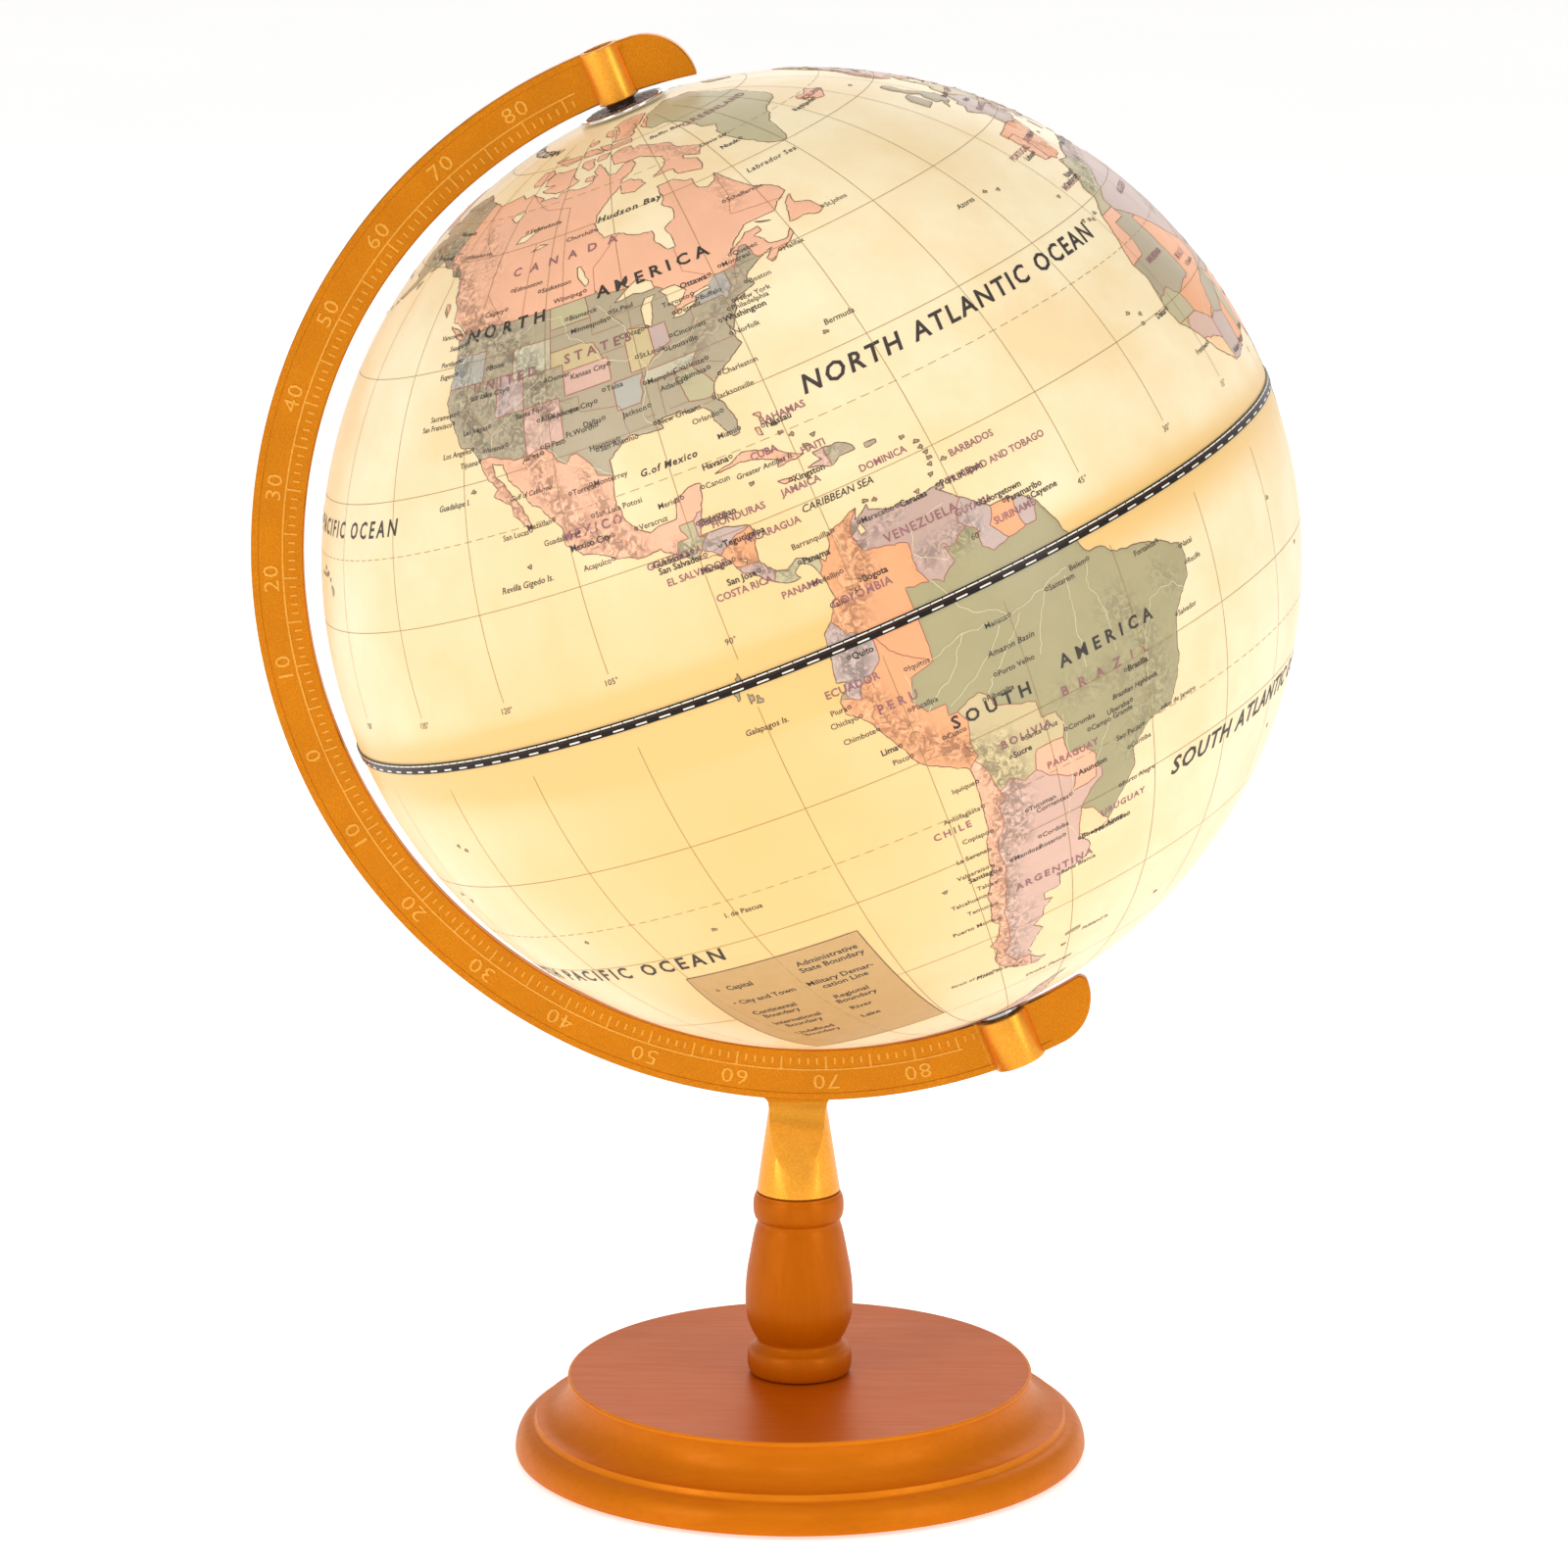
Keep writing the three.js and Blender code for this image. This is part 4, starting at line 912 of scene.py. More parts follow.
OLD_WORLD_ISLANDS = [outline(text) for text in listed("""
131 -0.8,134 -0.8,135 -3.3,138 -1.7,141 -2.6,145 -4.3,147.8 -6.1,150.8 -10.3,147 -9,144 -7.6,142.5 -9.3,
139 -8.1,137.8 -5.3,133 -4,132.8 -2.8;109 1.5,111.4 2.5,113 3.1,116 6.5,117 7,119 5.2,117.8 3.5,118.8 1,
117.5 0,116.3 -3.5,114.5 -4,111.8 -3.4,110 -1.4;95.3 5.6,98 4.3,100.4 2.5,103.5 -0.5,106 -3,105.8 -5.8,
104.5 -5.8,101.5 -3,98.8 1.5;105.3 -6.8,110.8 -6.4,114.5 -7.7,114.4 -8.7,108.5 -7.8;119.5 -5.5,118.9 -2.8,
119.8 0.5,121 1.3,125 1.5,120.5 0.4,121 -1,123.3 -0.9,121.8 -2,122.8 -4.5,121 -3.2,120.4 -5.5;120.6 18.5,
122.2 18.5,121.6 16,124 13,120.9 13.8,119.9 16.3;122 7,123.5 8.6,125.5 9.8,126.5 7.3,125.5 5.7,124 7
122 11.8,123.5 11,125.3 12.5,125.2 10.3,123 9.5;121.5 25.2,120.9 22,120.1 23;108.7 19.3,110.8 20,109.5 18.3
79.8 9.5,81.3 8.5,81.8 7,80.5 6,79.8 7.5;131 34.2,133 35.6,136 35.8,137 37.3,139.5 38.5,141.2 41.3,142 39.5,
140.8 37,140.6 35.6,138.8 34.8,135.8 33.5,135 34.6,132 33.9;130 33.5,131.9 33.5,131.3 31.4,130.3 31.3,
129.8 32.8;132.5 33.9,134.6 34.1,134 33.3,132.9 32.8;140.2 41.6,140.5 43.3,141.8 45.4,145.3 44,143.2 42,
141 42.4;142 46,142 50,142.7 54.3,143.3 52.5,144.5 49,143 47;49.3 -12,50.4 -15.7,47.2 -24.8,45 -25.5,
43.4 -22,44.4 -19.9,44 -17.3,47 -15.2;52 71,54 73,57 75.5,68.5 77,61 75.8,56 73,57.3 70.7;11 79.5,18 80,
27 80,21 78.5,17 76.6,14 77.8;48 80.5,60 81.5,62 80.5;95 79.5,97 81,105 79,100 78;-5.6 50.1,-3 51.3,
-5.2 51.8,-4.5 53.3,-3 54,-5 55,-5.8 57,-5 58.6,-3 58.6,-2 57.6,-3 56,-1.5 54.8,0.3 53,1.7 52.6,1 51.2,
-3 50.6;-10 51.8,-10 54.2,-8 55.2,-6 55.1,-6 52.2;12.5 38,15.5 38.2,15.1 36.7;8.2 41,9.7 41,9.5 39.1,8.5 39
8.7 42.6,9.5 42.9,9.3 41.5;23.6 35.4,26.2 35.2,24 35;32.4 34.9,34.4 35.6,33.5 34.7;114 -22,114 -26.5,
115.7 -32,115 -34.3,118 -35,123.5 -33.9,129 -31.6,132 -32,135.5 -34.7,138 -33,138.5 -35.6,140.5 -38,
143.5 -38.8,146.4 -39,150 -37.5,151.5 -33,153.5 -28.5,153 -25.3,150.8 -23.3,149 -20.5,146.3 -18.9,145.4 -15,
143.7 -14.3,142.5 -10.8,141.6 -13,140.9 -17.4,139.3 -17.5,135.7 -15,136.7 -12.2,132.7 -11.4,130.7 -12.5,
129.7 -14.9,128 -14.9,126 -14,122.2 -18,119 -20;144.8 -40.8,148.2 -40.9,148 -43,146.5 -43.6,145.3 -42.3
172.8 -34.5,175.5 -37,178.3 -37.7,176.9 -40,175 -41.5,175 -39.9,173.8 -39.3,174.8 -38;172.7 -40.6,
174.2 -41.5,172.8 -43.6,170.7 -45.9,168.4 -46.6,166.5 -45.9,168.5 -44.1,171.2 -42.3;164 -20.2,166.9 -22.3,
165.5 -21.6;148.5 -5.8,152 -4.5,152.3 -4.2,151 -5.9;155 -5.5,156 -6.8,155.3 -6.4
""")]
OLD_WORLD_LAKES = [outline(text) for text in listed("""
47 45,50 47,53 46.5,51 44.5,53.5 42,53.8 37.3,50 37.4,48.8 40,49.3 41.3,47.5 43;58.5 45,60 46.5,61.5 45.5,
60 43.8;31.8 -1,33 0.3,34.2 -0.5,33.5 -2.4,32 -2.5;104 51.5,106 52.5,109.8 55.7,109 53.6,106.5 51.7
29.2 -3.5,30.8 -8.5,30 -6;34 -10,34.8 -14,34.9 -11.5;74 46,79 46.6,76 45.2
""")]
OLD_WORLD_COUNTRIES = """
salmon:-9.8 42,-6.3 42,-7.3 37,-9.8 36.5
orange:-10 44.5,-1.8 43.4,3.3 42.5,3.5 41,-1 36,-7.3 36,-6.5 42,-9.8 42.1
mauve:-5.5 49,2 51.3,8.2 49,7 43.5,3.3 42.5,-1.8 43.4
rose:6.8 44,7 45.9,10.5 46.8,13.7 46.5,13 45,19.5 40,15 36,8 38.5,7.5 43.5
sand:3 51.5,6 50,6.5 49.3,8.2 49,7.6 47.5,13 47.5,12.5 50.3,15 51,14.2 54.5,8 55.2,3 53.5
salmon:14.2 54.5,15 51,19 49.5,24 49.2,23.7 53.5,19.5 55
sage:-8.5 35,-2 36,-1.2 32.2,-8.7 28.8,-8.7 27.7,-13.5 27.6
salmon:-13.5 27.6,-8.7 27.7,-8.7 26,-12 26,-12 23.5,-13 21.3,-17.5 20.8,-16.5 24
olive:-17.5 20.8,-13 21.3,-12 23.5,-12 26,-8.7 26,-8.7 27.3,-5 25,-6.5 25,-5.5 16,-9.5 15.5,-12 15,-14 16.6,
-16.6 16.1
mauve:-8.7 27.3,-8.7 28.8,-1.2 32.2,-2 36,8.5 37.5,8.3 32,9.8 29,10 24,12 23.5,4.2 19.2,3.2 19,-5 25
orange:-5.5 16,-6.5 25,-5 25,3.2 19,4.2 19.2,4 16.3,1 15,-3 13.8,-5.5 11,-8 10.2,-11.4 12.2,-12 15,-9.5 15.5
sage:-17.8 14.8,-16.6 16.3,-14 16.6,-12 15,-11.4 12.3,-17 12.3
rose:-15.5 11,-13.7 12.6,-11.4 12.3,-8 10.2,-8.2 7.5,-10.5 8.6,-13.4 9
mauve:-8.2 10,-5.5 10.5,-2.8 9.6,-3 4.5,-7.7 4.2,-8.4 7.6
peach:-13.5 9.2,-10.5 8.7,-8.4 7.6,-7.5 4,-12 6
olive:-5.5 11,-3 13.8,1 15,2.3 12.4,0 11,-2.8 9.6,-5.4 10.4
orange:-2.8 9.6,-2.8 11,0 11,1.2 6,0 5,-3 4.6
sage:0 11,2.3 12.4,3.6 11.7,2.7 6,0.9 5.8
salmon:2.7 6,3.6 11.7,4 13.5,13.6 13.6,14 11.5,11.5 7,8.6 4.5,4 4
brown:4 13.5,1 15,4 16.3,4.2 19.2,12 23.5,15 23,15.5 17,13.6 13.6
sand:13.6 13.6,15.5 17,15 23,16 23.4,24 19.5,23.5 15.5,22 11,15.5 7.5,15 10
rose:8.3 32,8.5 37.5,12 37.5,11.5 33,10 31.7,9.8 29
olive:9.8 29,10 31.7,11.5 34,25 33,25 20,24 19.5,16 23.4,12 23.5,10 24
orange:25 33,34.5 31.5,34.9 29.5,37 22,25 22
mauve:25 22,37.3 22,39 18,36.4 14.3,34 9.5,24 9,22 11,23.5 15.5,24 19.5
salmon:36.4 14.3,39 18,43.3 12.3,42 11,48 8,45 5,41.9 4,36 4.4,34 8,34 9.5
brown:43 11,51.5 12.2,52 8,42 -2,41 -1,41.9 4,45 5,48 8
sage:24 9,34 9.5,34 8,36 4.4,31 3.6,27.5 5
orange:34 1,34 4.2,41.9 4,41 -2,39 -5,34 -1
mauve:30.5 -1,34 -1,37.5 -3,39.5 -5,41 -10.5,34.5 -11.5,30 -8
sand:29.5 4,34 4,34 -1,29.5 -1.2
salmon:12 -6,16.5 -6,17 -4.5,16 -2,18.5 3.5,24 5.5,30 4,30 -8.3,28.5 -9,28 -12.5,24 -11,22 -11,21.5 -7.2
olive:8.5 4.5,11.5 7,15.5 7.8,14.5 4.5,16 2,9.5 2
rose:15 10,15.5 7.5,22 11,27.5 5,24 5.5,18.5 3.5,16 2,14.5 4.5
sage:9 2.2,18.5 3.5,16 -2,13 -4.8,11 -4.5,8 -1
orange:11.5 -5,21.5 -7.2,22 -11,24 -11,24 -13,22 -13,22 -16,23.5 -17.6,11 -17.4
peach:24 -11,28 -12.5,28.5 -9,33 -9.5,33 -14,30 -15.6,26 -18,22 -16.5,22 -13,24 -13
mauve:34.5 -11.5,41.5 -10,41.5 -16,36 -20,36 -25,32 -27,32 -22.5,33 -17,30 -15.6,33 -14,36 -14.5
olive:25.5 -17.8,30 -15.6,33 -17,32 -22.5,29.5 -22.2,27.5 -20.5
sage:11.5 -17.3,23.5 -17.6,25 -17.8,21 -18.5,20 -22,20 -28.5,16.5 -28.6,11 -20
sand:20 -22,21 -18.5,25.2 -17.8,27.5 -20.5,29.5 -22.2,26 -25,20 -26.8
salmon:16.3 -28.6,20 -28.5,20 -26.8,26 -25,29.5 -22.2,31.5 -22.4,33 -27,28 -36,17 -36
orange:42 -11,52 -11,52 -27,42 -27
olive:34.9 29.5,39 32,42 31,46.5 29,48.5 28.3,52 24,55 22.5,52 19,45 17.3,42.5 16.5,34 26
mauve:42.5 16.5,45 17.3,52 19,53 16,45 12,42 13
salmon:52 19,55 22.5,52 24,56.5 27,60.5 22.5,54 16
peach:34.5 31,36 37,42 37.3,41 34,39 32,35 29.5
brown:42 37.3,41 34,39 32,42 31,46.5 29,48.5 29.9,46 33,46 36
orange:26 36,26 41.8,29.5 41.8,41.5 41.8,44.5 40,44.5 37.2,36 37,30 35.5
rose:44.5 37.2,44.5 40,49 38.3,54 37,60 36.5,61 31.5,63 27,61.5 24.8,56 26.5,48.5 29.9,46 33
mauve:60.8 35.5,66.5 37.4,74.5 37.2,70 33.5,66 29.5,61 29.8
olive:61 29.8,66 29.5,70 33.5,74.5 37.2,78 35,74.5 32,70 27.5,71 24.3,66.5 24,61.5 24.8
salmon:78 35,80.5 30.3,88 27.8,92 27.8,97 28,94 23,92.3 24,89.5 26,88.5 22,88.8 21,80 6,72 15,67.5 23.5,
71 24.3,70 27.5,74.5 32
brown:80.5 30.3,88 27.8,88 26.4,80.3 28.6
sage:88.5 25.8,92.3 25,92.5 21,88.8 21
orange:92.3 21,94 23,97 28,98.5 27.5,98 24,101 21.5,98 18,99 14,98.8 10,93 15
mauve:98 20.3,101 20.3,105 16,103 12,101 13,100.5 6.5,98 7,99 14,97.8 18
sand:101 21.5,98 20.3,101 20.3,105 16,107.5 14.5,103 22.4
olive:103 12,105 14.3,107.5 14.5,106 10.5,103 10
rose:102.3 22.4,108.2 21.5,110 15,109 8.5,104 8.3,106 10.5,107.5 14.5,105 18
sand:100 6.5,105 3,104.5 1,100 3
brown:108.5 2,113 3.3,119.5 7.5,119.5 4,115 1
orange:94 6,120 2,126 2.2,141 0,141 -10,105 -9.5
salmon:120 19,127 19,127 5,119 9
sage:87.8 49.2,98 52,116 50,120 47,112 43.3,105 41.6,96 42.7,90 45
peach:73.5 39.5,80 42,82.5 45.2,87.8 49.2,90 45,96 42.7,105 41.6,112 43.3,120 47,116 50,121 53.4,131 47.8,
135 48.4,131 42.5,124.3 39.9,122.5 35,123 28,110 19,108.2 21.5,102.3 22.4,101 21.5,98 24,98.5 27.5,92 27.8,
80.5 30.3,78 35
olive:124.3 39.9,130.7 42.5,129 38.3,126.6 37.7,124.5 37.7
salmon:126.5 37.7,128.4 38.6,130.5 36,129 34,125.5 34
rose:128.5 34,135 38,139 42,140 45.8,146.5 44.5,142 34,131 30
olive:46.5 48.5,61 50.8,61.5 54,71 54.3,77 53.5,83.3 51,87.3 49.2,82.5 45.2,80 42,70 42,66 41.5,61 44.5,
56 45,56 41.3,52.5 42,50 45,46.5 45
mauve:56 45,61 44.5,66 41.5,70 42,73.5 39.5,74.5 37.2,66.5 37.4,60.8 35.5,54 37,52.5 42,56 41.3
rose:4 58,12.5 56,14.5 55.4,19 57.5,24 66,28 71.5,4.5 63
sage:21 60,28 60.3,31.5 62.7,29.5 69,26 69.8,24 66,20 63
olive:22 51.8,31.8 52.1,40 49.5,39 47,36 44,29 45,26.7 48.3,22.2 48
peach:23.7 53.5,21 55,21 60,28 59.8,28.2 56,32 52.1,23.6 51.6
mauve:12.5 50.3,15 51,19 49.5,22.6 49,29 45.5,28.5 41,26 40.8,20 41.5,19 42,13.5 46.5,10.5 46.8,9.5 47.5,
13 47.5
sage:19 42,26.5 41.6,27 36,23 35,19 39
olive:-11 51,2 50.8,2 61,-11 61
rose:10 76,30 82,36 80
sand:112 -10,129 -10,129 -36,112 -36
salmon:129 -10,138 -10,138 -26,129 -26
peach:129 -26,141 -26,141 -39,129 -39
mauve:138 -10,154 -9,154 -28.8,141 -29,141 -26,138 -26
olive:141 -29,155 -28.5,151 -37.3,141 -34
orange:141 -34,151 -37.3,149 -44,140 -44
sage:160 -30,180 -30,180 -50,160 -50
rose:141 0,157 -2,157 -12,141 -10
salmon:19 72,60 83,191 83,191 40,131 42,120 49,98 50,88 48,60 50,46 41,36 44,24 50,26 70
sand:-20 40,60 40,60 -40,-20 -40
"""
ANTARCTICA = outline("""
-180 -78.3,-158 -78,-150 -77,-140 -75.3,-125 -73.5,-110 -74.5,-100 -73,-90 -73,-80 -73.5,-75 -71,-68 -68.5,
-65 -65.5,-57.5 -63.3,-60 -65,-61.5 -68,-61 -74,-70 -77,-78 -78.5,-60 -81,-40 -78,-30 -76,-20 -74,-10 -71,
0 -70,15 -69.5,30 -69.5,40 -69,50 -66.8,60 -67.3,70 -69.8,75 -69.5,85 -66.5,100 -66,115 -66.7,130 -66,
140 -66.6,150 -68.5,160 -70,170 -71.5,167 -75,164 -77.7,180 -78.3,180 -84.5,90 -84.5,0 -84.5,-90 -84.5,
-180 -84.5
""")
SMALL_ISLANDS = outline("""
-62.8 17.3,-61.5 16.2,-61.3 15.4,-61 14.6,-61 13.9,-59.5 13.1,-61.2 13.2,-61.7 12.1,-64.7 32.3,-28 38.5,
-25.5 37.8,-16.5 28.3,-14 28.5,-15.6 28,-17.9 28.6,-23.6 15,-25 17,-22.9 16.1,-17 32.7,-109.4 -27.1,
-139 -9.5,-140.2 -8.9,-149.5 -17.6,-151.4 -16.7,-130 -25,-78.8 -33.6,-90.3 -0.7,-89.5 -0.9,-90.8 0.3,
-91.6 -0.4,-157.9 21.5,-159.5 22,-156.5 20.8,-81.2 19.3,-70 12.5,-68.9 12.2,-64 11,-75.7 23.5,-76 24.7,
-74.5 22.8,-72.2 21.8,-73.6 21,-118.3 29,-111 18.8,-61.2 -54.3,-36.8 -54.3,-59.3 -51.9,-7 62,-5.7 -15.9,
-14.4 -7.9,-12.3 -37.1,55.5 -21.1,57.5 -20.3,43.3 -11.7,55.5 -4.6,73.5 4,92.8 12,72 7,70 -49.3,39.4 -6.1,
166.7 -15.4,168 -17.7,160 -9.6,161.5 -9,178 -17.8,179.3 -16.5,171 -13.8,-175 -21.2,-171.8 -13.8,144.8 13.5,
134.5 7.5,158.2 6.9,151.8 7.4,127.8 26.5,129.4 28.3,124.3 -9.3,120 -9.7,118 -8.6,121 -8.6,128.5 -3.3,
127.8 0.8,116.4 -8.6,115.2 -8.4,106.5 -2.6,125.6 -8.8,153 48,150 46,-176 51.8,-174 52.2,-178 51.8,179 51.4,
173 52.9,10.8 34,3 39.6,14.4 35.9,26.3 38.4,28 36.3,19 57.6
""")


def directions(lon, lat):
    """Unit vectors, one a row, for arrays of degrees."""
    lon, lat = np.radians(lon), np.radians(lat)
    return np.column_stack([np.cos(lat) * np.cos(lon), np.cos(lat) * np.sin(lon), np.sin(lat)])


class Ripple:
    """A wandering height made of many waves, for places on the unit sphere."""

    def __init__(self, seed, low, high, count=22):
        draw = np.random.default_rng(seed)
        lengths = np.geomspace(low, high, count)
        headings = draw.normal(size=(count, 3))
        self.waves = headings / np.linalg.norm(headings, axis=1)[:, None] * lengths[:, None]
        self.phases = draw.uniform(0, FULL_TURN, count)
        self.sizes = (low / lengths) ** 0.7
        self.sizes /= math.sqrt((self.sizes**2).sum() / 2)

    def at(self, places):
        return np.sin(places @ self.waves.T + self.phases) @ self.sizes


COAST_EAST = Ripple(1, 110, 620)
COAST_NORTH = Ripple(2, 110, 620)
RIDGES = Ripple(3, 110, 260)
GULLIES = Ripple(4, 300, 700)


def roughened(points, reach, closed=True):
    """Fills in a coarse outline with the small bays and capes that a straight line lacks.

    Ends of segments stay where they are, and so do segments along a meridian or a parallel."""
    filled = []
    ends = points[1:] + points[:1] if closed else points[1:]
    for start, end in zip(points, ends):
        first, last = (start, end) if start < end else (end, start)
        width, height = last[0] - first[0], last[1] - first[1]
        shrink = math.cos(math.radians((first[1] + last[1]) / 2))
        length = math.hypot(width * shrink, height)
        steps = max(1, math.ceil(length / 0.42))
        t = np.arange(steps + 1) / steps
        lon, lat = first[0] + width * t, first[1] + height * t
        if abs(width) > 1e-6 and abs(height) > 1e-6:
            places = directions(lon, lat)
            taper = 0.3 * reach * min(1, length / 2.2) * np.sqrt(np.sin(math.pi * t).clip(0))
            lon = lon + taper * COAST_EAST.at(places) / shrink
            lat = lat + taper * COAST_NORTH.at(places)
        segment = [(float(x), float(y)) for x, y in zip(lon, lat)]
        if (start, end) != (first, last):
            segment.reverse()
        filled += segment[:-1]
    return filled if closed else [*filled, points[-1]]


def islet(centre, index):
    """A small island of nine uneven sides."""
    lon, lat = centre
    shrink = math.cos(math.radians(lat))
    points = []
    for step in range(9):
        angle = step * FULL_TURN / 9
        reach = 0.3 * (1 + 0.5 * math.sin(step * 2.4 + index * 1.7))
        points.append((lon + reach * math.cos(angle) / shrink, lat + 0.7 * reach * math.sin(angle)))
    return points


def inside(points, polygon):
    """Which of the points lie in the polygon."""
    ends = np.array(polygon)
    hit = np.zeros(len(points), bool)
    near = np.flatnonzero(((points > ends.min(0)) & (points < ends.max(0))).all(1))
    if not len(near):
        return hit
    starts = np.roll(ends, 1, 0)
    sloping = starts[:, 1] != ends[:, 1]
    starts, ends = starts[sloping], ends[sloping]
    lean = (ends[:, 0] - starts[:, 0]) / (ends[:, 1] - starts[:, 1])
    for part in np.array_split(near, len(near) // 400 + 1):
        x, y = points[part, 0, None], points[part, 1, None]
        spans = (starts[:, 1] > y) != (ends[:, 1] > y)
        crossings = spans & (x < starts[:, 0] + lean * (y - starts[:, 1]))
        hit[part] = crossings.sum(1) % 2 == 1
    return hit


# Mountain ranges: half width in degrees, height, then the crest line.
RANGES = """
2.2 0.9:-155 61.5,-150 63,-143 62,-138 60,-130 56.5,-125 52,-120 49.5,-114 47,-110 44,-107 40,-105.5 36
1.4 0.8:-121.5 49,-122 44,-121 40,-118.5 36.5,-116 33.5
3.2 0.6:-117 41,-113 38,-110 34
1.5 0.5:-160 68,-145 68.5
1.6 0.5:-130 64,-124 60,-121 57
1.7 0.9:-108 31,-106.5 27,-104 23,-101 19,-97 17
1.2 0.7:-101 27,-99 22,-97 18
1 0.7:-92 15.5,-88 14.5,-86 13,-84 10,-81 8.4
1.3 0.5:-85 34.5,-80 38,-75 41.5,-71 45
1.2 0.5:-85 73,-76 72,-70 69,-65 66
1 0.5:-80 82,-75 80,-80 77
1.3 0.4:-65 59,-66 54
1 0.8:-113 28.5,-115.5 31
0.8 0.8:-112.5 27,-110.5 24
0.8 0.6:-77 20.3,-75.5 20.2
0.8 0.7:-72 18.8,-70.5 19
1.7 1:-73 10,-73.5 6,-76 2,-78.5 -1,-78.5 -5,-77 -9,-74 -13,-70.5 -15.5,-68 -18,-67.5 -22,-68 -26,-70 -31,
-70.5 -36,-71.5 -41,-72.5 -46,-73.2 -50,-71 -54
1.6 0.8:-66 -17,-65.5 -21,-66 -26,-67 -30
1 0.6:-75.5 6,-76 3
1 0.6:-70.5 9,-67 10
1.8 0.6:-66 4,-62 4.5,-60 5
2.4 0.4:-47 -8,-44 -13,-43 -19,-48 -25
2.2 0.3:-56 -15,-50 -15,-47 -17
1.8 0.3:-40 -7,-38 -9
1.5 0.4:-68 -42,-70 -48
1.4 0.7:-8 31,0 34,8 36
1.2 0.9:6 45,10 46.5,15 47.5
0.8 0.7:-1 42.8,2.5 42.5
1.6 0.5:-6 40,-3 38
1.5 0.7:7 61,15 67,22 69.5
1 0.6:20 49,25 47.5,24 45.5
1.3 0.6:17 44,21 41.5,23 39
1.8 0.7:30 38,40 39.5,47 42
1.5 0.8:45 36,52 31,57 28.5
1.2 0.7:50 36.5,60 36
1.8 1:68 35,74 35,80 31,88 28,96 28.5,99 26
2 0.8:76 37,90 36,100 36
3.5 0.6:83 33,92 32
1.6 0.8:70 41,80 42.5,90 43.5
2 0.7:86 49,95 50,105 51
1.2 0.6:59 52,59 60,65 67
2.5 0.6:130 67,140 66,150 62,160 64,170 66
2 0.5:115 56,130 56
2.2 0.5:103 30,105 25,116 27
1.6 0.6:98 20,102 18,107 15
2.2 0.7:38 14,39 9,36 6
1.7 0.6:30 0,35 -3,34 -10
1.4 0.6:29 -29.5,31 -25,19 -33
1.4 0.5:15 -20,14 -14
1.6 0.5:6 23.5,9 25
1.4 0.5:18 21
1.3 0.5:146 -18,150 -24,152 -30,148 -36.5
1 0.5:73.5 19,76 12
1 0.8:137 36,140 39
0.8 0.7:97 4,104 -4.5
1.2 0.9:134 -4,141 -5,147 -8.5
1.4 0.6:115 2,117 5
0.8 0.9:168 -45,172 -42.5
0.8 0.6:47 -15,47 -22
1 0.6:121 17,120.5 15.5
2 0.6:165 -73,160 -80
1 0.6:-64 -65,-70 -72
"""


def crest_segments():
    rows = []
    for row in listed(RANGES):
        sizes, crest = row.split(":")
        width, height = (float(x) for x in sizes.split())
        crest = outline(crest)
        for a, b in zip(crest, crest[1:] or crest):
            rows.append((a, b, width, height))
    return rows


CRESTS = crest_segments()


def mountains(lon, lat):
    """How mountainous each place is, from 0 to 1, with arrays of printed longitudes and latitudes."""
    highest = np.zeros(len(lon))
    for (ax, ay), (bx, by), width, height in CRESTS:
        shrink = math.cos(math.radians((ay + by) / 2))
        dx, dy = (bx - ax) * shrink, by - ay
        px, py = (lon - ax) * shrink, lat - ay
        t = np.clip((px * dx + py * dy) / (dx * dx + dy * dy + 1e-9), 0, 1)
        distance = np.hypot(px - t * dx, py - t * dy) / width
        highest = np.maximum(highest, height * np.exp(-(distance**2)))
    return highest


def relief(lon, lat):
    """Height of the embossed mountains over the land, in millimetres, and the share of mountain."""
    lon, lat = np.array(lon), np.array(lat)
    share = mountains(lon, lat)
    places = directions(lon, lat)
    rough = 1 - abs(RIDGES.at(places)) * 0.8 + 0.16 * GULLIES.at(places)
    clear_of_tape = np.minimum(1, abs(lat) / FLAT_NEAR_TAPE)
    return MOUNTAIN_RISE * clear_of_tape * share * rough.clip(0) * (share > 0.05), share


LINES = {"coast": [], "border": []}
LAND_OUTLINES = []


